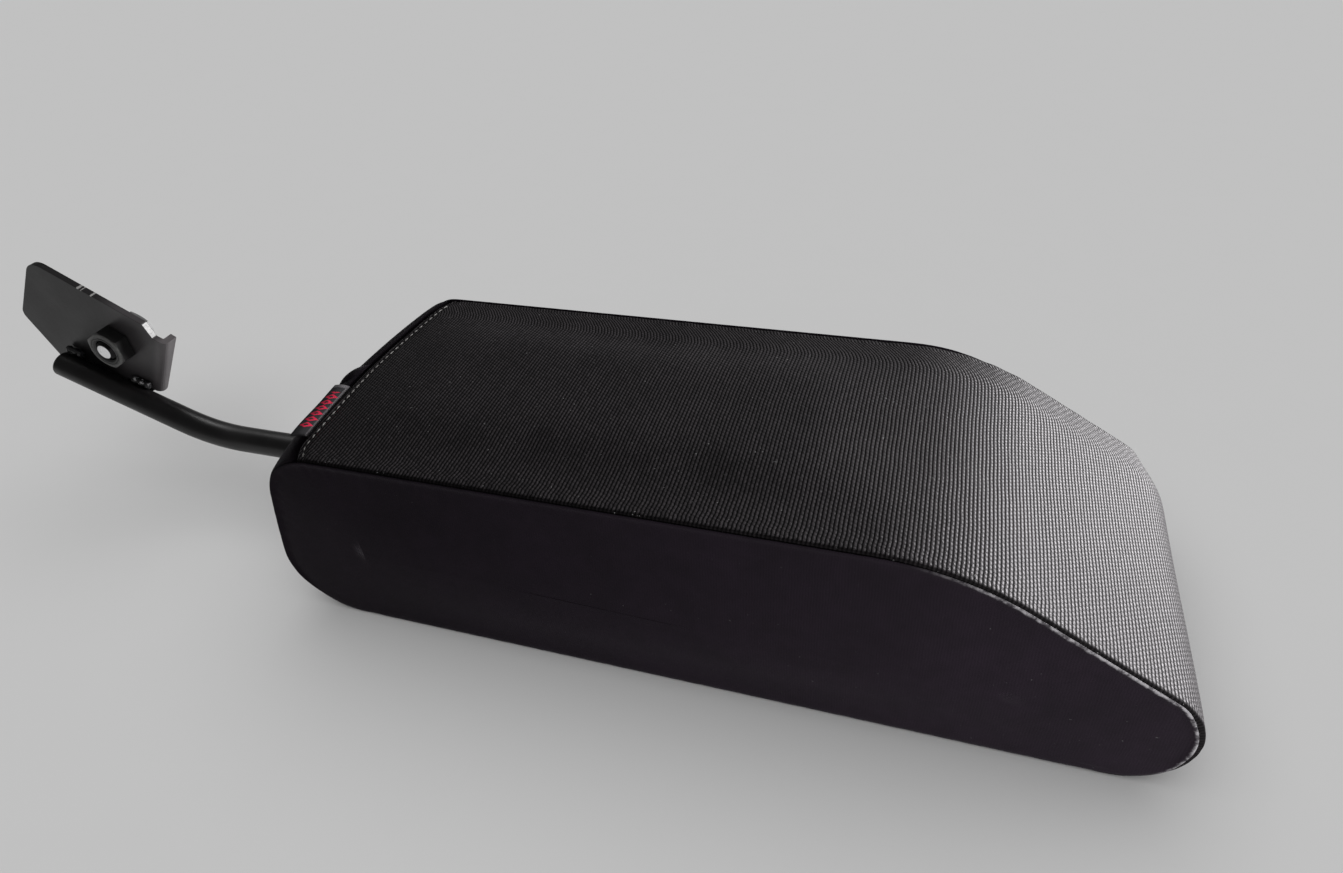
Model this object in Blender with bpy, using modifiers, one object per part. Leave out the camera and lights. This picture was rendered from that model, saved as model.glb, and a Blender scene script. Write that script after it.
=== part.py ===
"""Bolt-on seat armrest: a padded armrest on a bent rod, with a welded bracket that pivots on a bolt.

Frame: +X towards the nose of the pad, +Z up, Y across. The underside of the pad is at Z = 0,
the rod runs in the plane Y = 0, and X = 0 is halfway along the whole armrest.
Sizes are in metres.
"""
import math

import bmesh
import bpy
from mathutils import Matrix, Vector

GAP = 0.0003                      # between pieces that touch

# Pad
PAD_WIDTH = 0.118
PAD_HEIGHT = 0.083
NOSE_X = 0.2549
REAR_X = -0.0804                  # rear face, carried down to the underside
REAR_LEAN = math.radians(9.3)     # the rear face leans forward
SLOPE_ANGLE = math.radians(31)    # the top falls towards the nose
SLOPE_START_X = 0.1790            # top plane and slope meet here, before rounding
NOSE_RADIUS = 0.0234
SLOPE_RADIUS = 0.092
REAR_TOP_RADIUS = 0.025
REAR_BOTTOM_RADIUS = 0.026
COVER = 0.002                     # thickness of the sewn cover
TOP_SEAM_X = -0.0450              # seam between top strip and rear panel
NOSE_SEAM_X = 0.2270              # seam between top strip and underside
HEEL_SEAM_X = -0.0440             # seam between underside and rear panel

# Arm rod
ROD_RADIUS = 0.006
ROD_Z = 0.031                     # height of its straight run in the pad
ROD_FRONT_X = 0.100
ROD_BEND_X = -0.1434              # the bend starts here
ROD_BEND_RADIUS = 0.090
ROD_ANGLE = math.radians(22.2)    # slope of the rear run
ROD_REAR_X = -0.2387

# Bracket, drawn in its own plane: u along the rod's rear run, v square to it and up, from the pivot
PIVOT_X = -0.2028
PIVOT_Z = 0.0743
PLATE_Y = ROD_RADIUS + GAP        # outer face of the plate
PLATE_THICKNESS = 0.003
PLATE_OUTLINE = (                 # u, v, corner radius
    (-0.0418, 0.0266, 0.0080),
    (0.0150, 0.0193, 0.0015),
    (0.0198, 0.0132, 0.0012),
    (0.0228, 0.0130, 0.0),
    (0.0166, -0.0215, 0.0),
    (0.0140, -0.0245, 0.0015),
    (-0.0345, -0.0300, 0.0050),
    (-0.0533, -0.0098, 0.0050),
)
FLANGE_EDGE = (3, 4)              # the corners between which the flange is folded
FLANGE_DEPTHS = (0.0044, 0.0014)  # flat part of the flange beyond its bend, at its top and its foot
FLANGE_BEND_RADIUS = 0.0018       # at the middle of the sheet
FLANGE_CORNER = 0.0010            # its free lower corner is cut round

# Pivot hardware (M10)
BOLT_RADIUS = 0.005
BOLT_CHAMFER = 0.0015
BOLT_STANDS_OUT = 0.0006          # past the nut
HOLE_RADIUS = 0.0053
HEX_FLAT = 0.008                  # half the width across flats of the bolt's head
HEAD_HEIGHT = 0.0064
NUT_FLAT = 0.0085
NUT_HEIGHT = 0.0075
NUT_COUNTERSINK = 0.0008
WASHER_RADIUS = 0.010
WASHER_THICKNESS = 0.0016
SPRING_RADIUS = 0.0086
SPRING_THICKNESS = 0.0022
SPRING_SPLIT = 0.0012
SPRING_SPLIT_PLACE = math.radians(130)   # where on the ring the split is
SPRING_SPLIT_SLANT = math.radians(35)

# Inside the pad
STRIP_SIZE = (0.120, 0.040, 0.003)
STRIP_CENTRE_X = 0.020
BOARD_THICKNESS = 0.010
BOARD_ENDS_X = (-0.060, 0.225)
SCREW_SPACING = (0.090, 0.028)
SCREW_SHANK = 0.002
SCREW_HEAD = 0.0045
SCREW_HEAD_HEIGHT = 0.0024
SCREW_LENGTH = 0.012
SCREW_POINT = 0.003

# Weld beads
WELD_RADIUS = 0.0018
WELD_RIPPLE = 0.0028              # length of one ripple
ROD_WELDS = (                     # along the rod's rear run, from the pivot
    ("rod_weld_front", 0.0072, 0.0168),
    ("rod_weld_rear", -0.0285, -0.0200),
)
STRIP_WELD_HALF = 0.020           # half the length of a bead on the strip

# Rear closure and label
FLAP_WIDTH = 0.014
FLAP_CENTRE_Y = -0.0038
FLAP_THICKNESS = 0.0040
FLAP_TRIM = 2                     # facets of the rounded corner that it leaves free at its top
FLAP_TAIL = 0.014                 # its length below the rounded corner
LABEL_LENGTH = 0.030
LABEL_DEPTH = 0.0115
LABEL_THICKNESS = 0.0008
LABEL_CENTRE_Y = -0.0293
LABEL_SET_BACK = 0.0055           # its inner edge, behind the seam
LABEL_TILT = math.radians(13)     # it hangs down towards its free edge

ARC_STEP = math.radians(9)        # one facet of a rounded corner
PAST = 0.002                      # how far a cutter runs past the piece that it cuts
REACH = 0.3                       # half the size of a block that limits a piece on one side only

# Heights that follow from the sizes above
STRIP_TOP = ROD_Z - ROD_RADIUS - GAP
STRIP_BOTTOM = STRIP_TOP - STRIP_SIZE[2]
BOARD_TOP = STRIP_BOTTOM - GAP
BOARD_BOTTOM = BOARD_TOP - BOARD_THICKNESS
PLATE_INNER_Y = PLATE_Y + PLATE_THICKNESS
WASHER_Y = PLATE_INNER_Y + GAP
SPRING_Y = WASHER_Y + WASHER_THICKNESS + GAP
HEAD_Y = SPRING_Y + SPRING_THICKNESS + GAP
NUT_Y = PLATE_Y - GAP - NUT_HEIGHT
BOLT_TIP_Y = NUT_Y - BOLT_STANDS_OUT


# ---------------------------------------------------------------- scene and materials

def clear_scene():
    for thing in list(bpy.data.objects):
        bpy.data.objects.remove(thing, do_unlink=True)


def make_collection(name):
    collection = bpy.data.collections.new(name)
    bpy.context.scene.collection.children.link(collection)
    return collection


def make_material(name, colour, roughness, metallic=0.0):
    material = bpy.data.materials.new(name)
    material.use_nodes = True
    shader = material.node_tree.nodes["Principled BSDF"]
    shader.inputs["Base Color"].default_value = (*colour, 1.0)
    shader.inputs["Roughness"].default_value = roughness
    shader.inputs["Metallic"].default_value = metallic
    return material


def move_to(thing, collection):
    for old in list(thing.users_collection):
        old.objects.unlink(thing)
    collection.objects.link(thing)


# ---------------------------------------------------------------- outlines in two dimensions

def rounded(corners, step=ARC_STEP):
    """The closed outline through corners (a, b, radius), with each corner rounded by an arc.

    Returns one list of points for each corner, so that a stretch can start or end at an arc.
    """
    arcs = []
    count = len(corners)
    for index, (a, b, radius) in enumerate(corners):
        corner = Vector((a, b))
        before = (Vector(corners[index - 1][:2]) - corner).normalized()
        after = (Vector(corners[(index + 1) % count][:2]) - corner).normalized()
        if radius == 0.0:
            arcs.append([corner])
            continue
        half = before.angle(after) / 2
        centre = corner + (before + after).normalized() * (radius / math.sin(half))
        first = corner + before * (radius / math.tan(half)) - centre
        sweep = math.pi - 2 * half
        if before.x * after.y - before.y * after.x > 0:
            sweep = -sweep
        steps = max(2, math.ceil(abs(sweep) / step))
        arc = []
        for turn in range(steps + 1):
            angle = sweep * turn / steps
            arc.append(centre + Vector((
                first.x * math.cos(angle) - first.y * math.sin(angle),
                first.x * math.sin(angle) + first.y * math.cos(angle),
            )))
        arcs.append(arc)
    return arcs


def inset(corners, depth):
    """The same corners moved inwards by depth on every side, for an outline that runs anticlockwise."""
    moved = []
    count = len(corners)
    for index, (a, b, radius) in enumerate(corners):
        corner = Vector((a, b))
        before = (corner - Vector(corners[index - 1][:2])).normalized()
        after = (Vector(corners[(index + 1) % count][:2]) - corner).normalized()
        normal_before = Vector((-before.y, before.x))
        normal_after = Vector((-after.y, after.x))
        shift = (normal_before + normal_after) * (depth / (1 + normal_before.dot(normal_after)))
        moved.append((*(corner + shift), max(radius - depth, 0.0)))
    return moved


def joined(arcs):
    return [point for arc in arcs for point in arc]


def pad_corners():
    """The pad's side outline in X and Z, anticlockwise from the heel."""
    slope_end_z = PAD_HEIGHT - (NOSE_X - SLOPE_START_X) * math.tan(SLOPE_ANGLE)
    rear_top_x = REAR_X + PAD_HEIGHT * math.tan(REAR_LEAN)
    return (
        (REAR_X, 0.0, REAR_BOTTOM_RADIUS),
        (NOSE_X, 0.0, NOSE_RADIUS),
        (NOSE_X, slope_end_z, NOSE_RADIUS),
        (SLOPE_START_X, PAD_HEIGHT, SLOPE_RADIUS),
        (rear_top_x, PAD_HEIGHT, REAR_TOP_RADIUS),
    )


# ---------------------------------------------------------------- solids

def finish(thing, collection, material, smooth=True):
    move_to(thing, collection)
    thing.data.materials.clear()
    thing.data.materials.append(material)
    if smooth:
        thing.data.shade_smooth()
        thing.data.set_sharp_from_angle(angle=math.radians(35))
    return thing


def curve_to_mesh(curve_object):
    """Turn a curve object into a mesh object with welded caps, at the same place."""
    depsgraph = bpy.context.evaluated_depsgraph_get()
    mesh = bpy.data.meshes.new_from_object(curve_object.evaluated_get(depsgraph))
    shape = bmesh.new()
    shape.from_mesh(mesh)
    bmesh.ops.remove_doubles(shape, verts=shape.verts, dist=0.000001)
    shape.to_mesh(mesh)
    shape.free()
    thing = bpy.data.objects.new(curve_object.name, mesh)
    thing.matrix_world = curve_object.matrix_world
    bpy.context.scene.collection.objects.link(thing)
    name = curve_object.name
    bpy.data.objects.remove(curve_object, do_unlink=True)
    thing.name = name
    return thing


def new_curve(name, points, cyclic):
    curve = bpy.data.curves.new(name, "CURVE")
    spline = curve.splines.new("POLY")
    spline.points.add(len(points) - 1)
    for target, point in zip(spline.points, points):
        target.co = (*point, 1.0)
    spline.use_cyclic_u = cyclic
    thing = bpy.data.objects.new(name, curve)
    bpy.context.scene.collection.objects.link(thing)
    return thing


def slab(name, outline, low_y, high_y):
    """A flat outline in X and Z, as thick as low_y to high_y."""
    thing = new_curve(name, [(point[0], point[1], 0.0) for point in outline], True)
    thing.data.dimensions = "2D"
    thing.data.fill_mode = "BOTH"
    thing.data.extrude = (high_y - low_y) / 2
    middle = Matrix.Translation((0, (low_y + high_y) / 2, 0))
    thing.matrix_world = middle @ Matrix.Rotation(math.pi / 2, 4, "X")
    return curve_to_mesh(thing)


def tube(name, points, radius):
    thing = new_curve(name, points, False)
    thing.data.dimensions = "3D"
    thing.data.bevel_depth = radius
    thing.data.bevel_resolution = 4
    thing.data.use_fill_caps = True
    return thing


def box(name, low, high):
    centre = [(a + b) / 2 for a, b in zip(low, high)]
    bpy.ops.mesh.primitive_cube_add(size=1, location=centre)
    thing = bpy.context.object
    thing.name = name
    for vertex in thing.data.vertices:
        vertex.co = [value * (b - a) for value, a, b in zip(vertex.co, low, high)]
    return thing


def cylinder(name, radius, start, end, vertices=32):
    start = Vector(start)
    end = Vector(end)
    bpy.ops.mesh.primitive_cylinder_add(
        radius=radius, depth=(end - start).length, vertices=vertices, location=(start + end) / 2)
    thing = bpy.context.object
    thing.name = name
    thing.rotation_euler = (end - start).to_track_quat("Z", "Y").to_euler()
    return thing


def turned(name, profile, at, axis, steps=32):
    """A turned solid: profile is (radius, height) from the top down its outer side, about axis."""
    mesh = bpy.data.meshes.new(name)
    mesh.from_pydata([(radius, 0.0, height) for radius, height in profile],
                     [(index, index + 1) for index in range(len(profile) - 1)], [])
    thing = bpy.data.objects.new(name, mesh)
    bpy.context.scene.collection.objects.link(thing)
    thing.location = at
    thing.rotation_euler = Vector(axis).to_track_quat("Z", "Y").to_euler()
    screw = thing.modifiers.new("Turn", "SCREW")
    screw.axis = "Z"
    screw.steps = steps
    screw.render_steps = steps
    screw.use_merge_vertices = True
    screw.merge_threshold = 0.00001
    return thing


def ring_profile(inner, outer, low, high):
    """A closed ring profile, down the outer side and back up the bore."""
    return [(inner, high), (outer, high), (outer, low), (inner, low), (inner, high)]


def apply_boolean(thing, other, operation, cutters=None):
    """Join or cut now. A cutter that cutters names is kept there, and any other is removed."""
    modifier = thing.modifiers.new(other.name, "BOOLEAN")
    modifier.operation = operation
    modifier.object = other
    modifier.solver = "EXACT"
    bpy.context.view_layer.update()
    depsgraph = bpy.context.evaluated_depsgraph_get()
    mesh = bpy.data.meshes.new_from_object(thing.evaluated_get(depsgraph))
    thing.modifiers.clear()
    thing.data = mesh
    if cutters is None:
        bpy.data.objects.remove(other, do_unlink=True)
        return
    move_to(other, cutters)
    other.hide_render = True
    other.display_type = "WIRE"


def soften(thing, width, segments=2, angle=40):
    bevel = thing.modifiers.new("Soft edges", "BEVEL")
    bevel.width = width
    bevel.segments = segments
    bevel.limit_method = "ANGLE"
    bevel.angle_limit = math.radians(angle)


# ---------------------------------------------------------------- metal arm

def plate_point(u, v, y):
    """A point of the bracket's own plane, in the armrest's frame."""
    cos = math.cos(ROD_ANGLE)
    sin = math.sin(ROD_ANGLE)
    return Vector((PIVOT_X + u * cos + v * sin, y, PIVOT_Z - u * sin + v * cos))


def rod_points():
    """The rod's centre line, from its front end in the pad to its rear end on the bracket."""
    points = [Vector((ROD_FRONT_X, 0, ROD_Z))]
    steps = 8
    for step in range(steps + 1):
        angle = ROD_ANGLE * step / steps
        points.append(Vector((
            ROD_BEND_X - ROD_BEND_RADIUS * math.sin(angle),
            0,
            ROD_Z + ROD_BEND_RADIUS * (1 - math.cos(angle)),
        )))
    run = points[-1].x - ROD_REAR_X
    points.append(points[-1] + Vector((-run, 0, run * math.tan(ROD_ANGLE))))
    return points


def make_arm_rod(parts, paint):
    rod = tube("arm_rod", rod_points(), ROD_RADIUS)
    rod = curve_to_mesh(rod)
    soften(rod, 0.0006)
    return finish(rod, parts, paint)


def make_bracket_plate(parts, cutters, paint):
    """Sheet with a folded flange: the open middle surface, thickened."""
    arcs = rounded(PLATE_OUTLINE)
    middle_y = PLATE_Y + PLATE_THICKNESS / 2
    shape = bmesh.new()
    corners = [[shape.verts.new(plate_point(u, v, middle_y)) for u, v in arc] for arc in arcs]
    shape.faces.new([vertex for arc in corners for vertex in arc])
    ends = [corners[index][0] for index in FLANGE_EDGE]
    fold = shape.edges.get(ends)
    along = (ends[1].co - ends[0].co).normalized()
    inward = Vector((0, 1, 0))
    away = along.cross(inward)
    if away.x < 0:
        away.negate()
    turn_axis = along if away.cross(inward).dot(along) > 0 else -along
    spun = bmesh.ops.spin(
        shape, geom=[fold], cent=ends[0].co + inward * FLANGE_BEND_RADIUS, axis=turn_axis,
        angle=math.radians(90), steps=6, use_duplicate=False)
    last = [edge for edge in spun["geom_last"] if isinstance(edge, bmesh.types.BMEdge)]
    grown = bmesh.ops.extrude_edge_only(shape, edges=last)
    new_ends = [vertex for vertex in grown["geom"] if isinstance(vertex, bmesh.types.BMVert)]
    new_ends.sort(key=lambda vertex: -vertex.co.z)
    for vertex, depth in zip(new_ends, FLANGE_DEPTHS):
        vertex.co += inward * depth
    bmesh.ops.bevel(
        shape, geom=[new_ends[1]], offset=FLANGE_CORNER, segments=3, profile=0.5, affect="VERTICES")
    bmesh.ops.remove_doubles(shape, verts=shape.verts, dist=0.00001)
    bmesh.ops.recalc_face_normals(shape, faces=shape.faces)
    mesh = bpy.data.meshes.new("bracket_plate")
    shape.to_mesh(mesh)
    shape.free()
    plate = bpy.data.objects.new("bracket_plate", mesh)
    bpy.context.scene.collection.objects.link(plate)
    sheet = plate.modifiers.new("Sheet", "SOLIDIFY")
    sheet.thickness = PLATE_THICKNESS
    sheet.offset = 0.0
    sheet.use_even_offset = True
    hole = cylinder("bolt_hole_cutter", HOLE_RADIUS, (PIVOT_X, 0, PIVOT_Z), (PIVOT_X, 0.02, PIVOT_Z))
    apply_boolean(plate, hole, "DIFFERENCE", cutters)
    soften(plate, 0.0004)
    return finish(plate, parts, paint)


def hexagon(name, flat, low, high, dome):
    """A hexagon block about the pivot from low to high in Y, its corners chamfered at the dome ends."""
    corner = flat / math.cos(math.radians(30))
    block = cylinder(name, corner, (PIVOT_X, low, PIVOT_Z), (PIVOT_X, high, PIVOT_Z), vertices=6)
    rise = (corner - flat) * 0.6
    top = high - rise if "high" in dome else high
    foot = low + rise if "low" in dome else low
    rim = corner * 1.02
    profile = [(0.0, high)]
    if "high" in dome:
        profile.append((flat * 0.96, high))
    profile += [(rim, top), (rim, foot)]
    if "low" in dome:
        profile.append((flat * 0.96, low))
    profile.append((0.0, low))
    round_block = turned(name + "_round", profile, (PIVOT_X, 0, PIVOT_Z), (0, 1, 0), steps=36)
    apply_boolean(block, round_block, "INTERSECT")
    return block


def make_weld_nut(parts, cutters, paint):
    nut = hexagon("weld_nut", NUT_FLAT, NUT_Y, NUT_Y + NUT_HEIGHT, ("low",))
    bore = turned("nut_bore_cutter", [
        (0.0, NUT_Y + NUT_HEIGHT + PAST),
        (HOLE_RADIUS, NUT_Y + NUT_HEIGHT + PAST),
        (HOLE_RADIUS, NUT_Y + NUT_COUNTERSINK),
        (HOLE_RADIUS + NUT_COUNTERSINK, NUT_Y),
        (HOLE_RADIUS + NUT_COUNTERSINK + PAST, NUT_Y - PAST),
        (0.0, NUT_Y - PAST),
    ], (PIVOT_X, 0, PIVOT_Z), (0, 1, 0))
    apply_boolean(nut, bore, "DIFFERENCE", cutters)
    return finish(nut, parts, paint)


def make_pivot_bolt(parts, zinc):
    """Hexagon head, and a shank whose tip is chamfered; its origin is on the pivot."""
    bolt = hexagon("pivot_bolt", HEX_FLAT, HEAD_Y, HEAD_Y + HEAD_HEIGHT, ("high",))
    shank = turned("pivot_shank", [
        (0.0, HEAD_Y + HEAD_HEIGHT / 2),
        (BOLT_RADIUS, HEAD_Y + HEAD_HEIGHT / 2),
        (BOLT_RADIUS, BOLT_TIP_Y + BOLT_CHAMFER),
        (BOLT_RADIUS - BOLT_CHAMFER, BOLT_TIP_Y),
        (0.0, BOLT_TIP_Y),
    ], (PIVOT_X, 0, PIVOT_Z), (0, 1, 0))
    apply_boolean(bolt, shank, "UNION")
    return finish(bolt, parts, zinc)


def make_spring_washer(parts, cutters, zinc):
    washer = turned(
        "spring_washer",
        ring_profile(HOLE_RADIUS, SPRING_RADIUS, SPRING_Y, SPRING_Y + SPRING_THICKNESS),
        (PIVOT_X, 0, PIVOT_Z), (0, 1, 0), steps=40)
    half = Vector((SPRING_SPLIT, SPRING_THICKNESS + PAST, SPRING_RADIUS - HOLE_RADIUS + PAST)) / 2
    split = box("spring_split_cutter", -half, half)
    for vertex in split.data.vertices:
        vertex.co.z += (SPRING_RADIUS + HOLE_RADIUS) / 2
        vertex.co.x += vertex.co.y * math.tan(SPRING_SPLIT_SLANT)
    split.location = (PIVOT_X, SPRING_Y + SPRING_THICKNESS / 2, PIVOT_Z)
    split.rotation_euler = (0, SPRING_SPLIT_PLACE, 0)
    apply_boolean(washer, split, "DIFFERENCE", cutters)
    return finish(washer, parts, zinc)


def make_flat_washer(parts, zinc):
    washer = turned(
        "flat_washer",
        ring_profile(HOLE_RADIUS, WASHER_RADIUS, WASHER_Y, WASHER_Y + WASHER_THICKNESS),
        (PIVOT_X, 0, PIVOT_Z), (0, 1, 0), steps=40)
    soften(washer, 0.0002, segments=1)
    return finish(washer, parts, zinc)


def weld_bead(name, start, end, parts, material):
    """A bead of overlapping ripples between start and end, with rounded ends."""
    start = Vector(start)
    end = Vector(end)
    length = (end - start).length
    ripples = max(3, round(length / WELD_RIPPLE))
    profile = [(0.0, length)]
    for ripple in range(ripples, 0, -1):
        top = length * ripple / ripples
        profile.append((WELD_RADIUS * 0.80, top - length / ripples * 0.12))
        profile.append((WELD_RADIUS, top - length / ripples * 0.50))
        profile.append((WELD_RADIUS * 0.80, top - length / ripples * 0.88))
    profile.append((0.0, 0.0))
    bead = turned(name, profile, start, end - start, steps=10)
    return finish(bead, parts, material)


def make_rod_welds(parts, paint):
    """Two beads along the upper side of the rod, in the corner that it makes with the plate."""
    clear_y = WELD_RADIUS + GAP
    reach = ROD_RADIUS + WELD_RADIUS + GAP
    rise = math.sqrt(reach ** 2 - (PLATE_Y - clear_y) ** 2)
    rod_v = rod_height_in_plate()
    for name, low_u, high_u in ROD_WELDS:
        ends = [plate_point(u, rod_v + rise, PLATE_Y - clear_y) for u in (low_u, high_u)]
        weld_bead(name, ends[0], ends[1], parts, paint)


def rod_height_in_plate():
    """How far the rod's centre line lies from the pivot in the bracket's plane (negative: below)."""
    rear = rod_points()[-1]
    up = Vector((math.sin(ROD_ANGLE), 0, math.cos(ROD_ANGLE)))
    return (rear - Vector((PIVOT_X, 0, PIVOT_Z))).dot(up)


# ---------------------------------------------------------------- inside the pad

def screw_places():
    for side_x in (-1, 1):
        for side_y in (-1, 1):
            yield (STRIP_CENTRE_X + side_x * SCREW_SPACING[0] / 2, side_y * SCREW_SPACING[1] / 2)


def make_mount_strip(parts, cutters, steel):
    length, width, _ = STRIP_SIZE
    strip = box("mount_strip", (STRIP_CENTRE_X - length / 2, -width / 2, STRIP_BOTTOM),
                (STRIP_CENTRE_X + length / 2, width / 2, STRIP_TOP))
    for number, (x, y) in enumerate(screw_places(), 1):
        drill = cylinder(f"strip_hole_cutter_{number}", SCREW_SHANK + GAP,
                         (x, y, STRIP_BOTTOM - PAST), (x, y, STRIP_TOP + PAST), vertices=16)
        apply_boolean(strip, drill, "DIFFERENCE", cutters)
    return finish(strip, parts, steel)


def make_strip_welds(parts, steel):
    """A bead on each side of the rod, in the corner that it makes with the strip."""
    clear_z = WELD_RADIUS + GAP
    reach = ROD_RADIUS + WELD_RADIUS + GAP
    out = math.sqrt(reach ** 2 - (ROD_Z - STRIP_TOP - clear_z) ** 2)
    for name, side in (("strip_weld_near", -1), ("strip_weld_far", 1)):
        ends = [(STRIP_CENTRE_X + half, side * out, STRIP_TOP + clear_z)
                for half in (-STRIP_WELD_HALF, STRIP_WELD_HALF)]
        weld_bead(name, ends[0], ends[1], parts, steel)


def make_core_board(parts, cutters, wood):
    half = PAD_WIDTH / 2 - COVER - GAP
    board = box("core_board", (BOARD_ENDS_X[0], -half, BOARD_BOTTOM), (BOARD_ENDS_X[1], half, BOARD_TOP))
    for number, (x, y) in enumerate(screw_places(), 1):
        drill = cylinder(f"board_hole_cutter_{number}", SCREW_SHANK + GAP,
                         (x, y, BOARD_BOTTOM - PAST), (x, y, BOARD_TOP + PAST), vertices=16)
        apply_boolean(board, drill, "DIFFERENCE", cutters)
    return finish(board, parts, wood)


def make_core_screws(parts, steel):
    head_foot = STRIP_TOP + GAP
    head_top = head_foot + SCREW_HEAD_HEIGHT
    tip = head_top - SCREW_LENGTH
    profile = [
        (0.0, head_top),
        (SCREW_HEAD * 0.7, head_top),
        (SCREW_HEAD, head_foot + SCREW_HEAD_HEIGHT * 0.4),
        (SCREW_HEAD, head_foot),
        (SCREW_SHANK, head_foot),
        (SCREW_SHANK, tip + SCREW_POINT),
        (0.0, tip),
    ]
    for number, (x, y) in enumerate(screw_places(), 1):
        screw = turned(f"core_screw_{number}", profile, (x, y, 0), (0, 0, 1), steps=16)
        finish(screw, parts, steel)


def foam_outline():
    return joined(rounded(inset(pad_corners(), COVER + GAP)))


def make_foam_lower(parts, foam):
    """The layer between the board and the underside of the cover."""
    half = PAD_WIDTH / 2 - COVER - GAP
    layer = slab("foam_lower", foam_outline(), -half, half)
    below = box("foam_lower_limit", (-REACH, -REACH, -REACH), (REACH, REACH, BOARD_BOTTOM - GAP))
    apply_boolean(layer, below, "INTERSECT")
    return finish(layer, parts, foam)


def make_foam_upper(parts, cutters, foam):
    """The block above and round the board, hollowed from below for the rod, the strip and the screws."""
    half = PAD_WIDTH / 2 - COVER - GAP
    block = slab("foam_upper", foam_outline(), -half, half)
    above = box("foam_upper_limit", (-REACH, -REACH, BOARD_TOP + GAP), (REACH, REACH, REACH))
    apply_boolean(block, above, "INTERSECT")
    rod_way = cylinder("foam_rod_cutter", ROD_RADIUS + GAP,
                       (REAR_X - PAST, 0, ROD_Z), (ROD_FRONT_X + GAP, 0, ROD_Z), vertices=24)
    apply_boolean(block, rod_way, "DIFFERENCE", cutters)
    slot = box("foam_slot_cutter",
               (REAR_X - PAST, -ROD_RADIUS, BOARD_TOP - PAST), (ROD_FRONT_X, ROD_RADIUS, ROD_Z))
    apply_boolean(block, slot, "DIFFERENCE", cutters)
    length, width, _ = STRIP_SIZE
    pocket = box("foam_strip_cutter",
                 (STRIP_CENTRE_X - length / 2 - GAP, -width / 2 - GAP, BOARD_TOP - PAST),
                 (STRIP_CENTRE_X + length / 2 + GAP, width / 2 + GAP,
                  STRIP_TOP + SCREW_HEAD_HEIGHT + 2 * GAP))
    apply_boolean(block, pocket, "DIFFERENCE", cutters)
    room_x = STRIP_WELD_HALF + PAST
    room_y = ROD_RADIUS + 2 * WELD_RADIUS + PAST
    weld_room = box("foam_weld_cutter",
                    (STRIP_CENTRE_X - room_x, -room_y, BOARD_TOP - PAST / 2),
                    (STRIP_CENTRE_X + room_x, room_y, STRIP_TOP + 2 * WELD_RADIUS + 3 * GAP))
    apply_boolean(block, weld_room, "DIFFERENCE", cutters)
    return finish(block, parts, foam)


# ---------------------------------------------------------------- cover

def run(arcs, start=None, end=None):
    """The points of one stretch of the outline, with an end point on a straight side where given."""
    points = joined(arcs)
    if start is not None:
        points.insert(0, Vector(start))
    if end is not None:
        points.append(Vector(end))
    return points


def cover_band(name, outer, inner, low_y, high_y):
    return slab(name, outer + inner[::-1], low_y, high_y)


def make_cover(parts, cutters, ribbed, plain):
    outer = rounded(pad_corners())
    inner = rounded(inset(pad_corners(), COVER))
    heel, nose_low, nose_high, slope, rear_top = range(5)
    half = PAD_WIDTH / 2
    band = half - COVER - GAP
    for name, side in (("cover_side_near", -1), ("cover_side_far", 1)):
        faces = sorted((side * half, side * (half - COVER)))
        panel = slab(name, joined(outer), faces[0], faces[1])
        finish(panel, parts, plain)

    top_arcs = (nose_low, nose_high, slope)
    top = cover_band(
        "cover_top",
        run([outer[i] for i in top_arcs], (NOSE_SEAM_X, 0.0), (TOP_SEAM_X, PAD_HEIGHT)),
        run([inner[i] for i in top_arcs], (NOSE_SEAM_X, COVER), (TOP_SEAM_X, PAD_HEIGHT - COVER)),
        -band, band)
    finish(top, parts, ribbed)

    underside = box("cover_underside", (HEEL_SEAM_X, -band, 0.0), (NOSE_SEAM_X - GAP, band, COVER))
    finish(underside, parts, plain)

    rear_arcs = (rear_top, heel)
    seam_x = TOP_SEAM_X - GAP
    heel_x = HEEL_SEAM_X - GAP
    outer_run = run([outer[i] for i in rear_arcs], (seam_x, PAD_HEIGHT), (heel_x, 0.0))
    inner_run = run([inner[i] for i in rear_arcs], (seam_x, PAD_HEIGHT - COVER), (heel_x, COVER))
    rear_sides = (("cover_rear_near", -band, -GAP / 2), ("cover_rear_far", GAP / 2, band))
    for name, low_y, high_y in rear_sides:
        panel = cover_band(name, outer_run, inner_run, low_y, high_y)
        rod_hole = cylinder(name + "_rod_cutter", ROD_RADIUS + GAP,
                            (REAR_X - PAST, 0, ROD_Z), (HEEL_SEAM_X, 0, ROD_Z), vertices=24)
        apply_boolean(panel, rod_hole, "DIFFERENCE", cutters)
        finish(panel, parts, plain)


def make_closure_flap(parts, fabric):
    """A thick flap over the top of the slit, from the rear seam down to just above the rod."""
    corners = pad_corners()
    near_face = rounded(inset(corners, -GAP))[4]
    far_face = rounded(inset(corners, -GAP - FLAP_THICKNESS))[4]
    tail = (Vector(corners[0][:2]) - Vector(corners[4][:2])).normalized() * FLAP_TAIL
    inner = near_face[FLAP_TRIM:] + [near_face[-1] + tail]
    outer = far_face[FLAP_TRIM:] + [far_face[-1] + tail]
    outline = inner + outer[::-1]
    flap = slab("closure_flap", outline, FLAP_CENTRE_Y - FLAP_WIDTH / 2, FLAP_CENTRE_Y + FLAP_WIDTH / 2)
    soften(flap, 0.0012, segments=2, angle=50)
    return finish(flap, parts, fabric)


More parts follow.
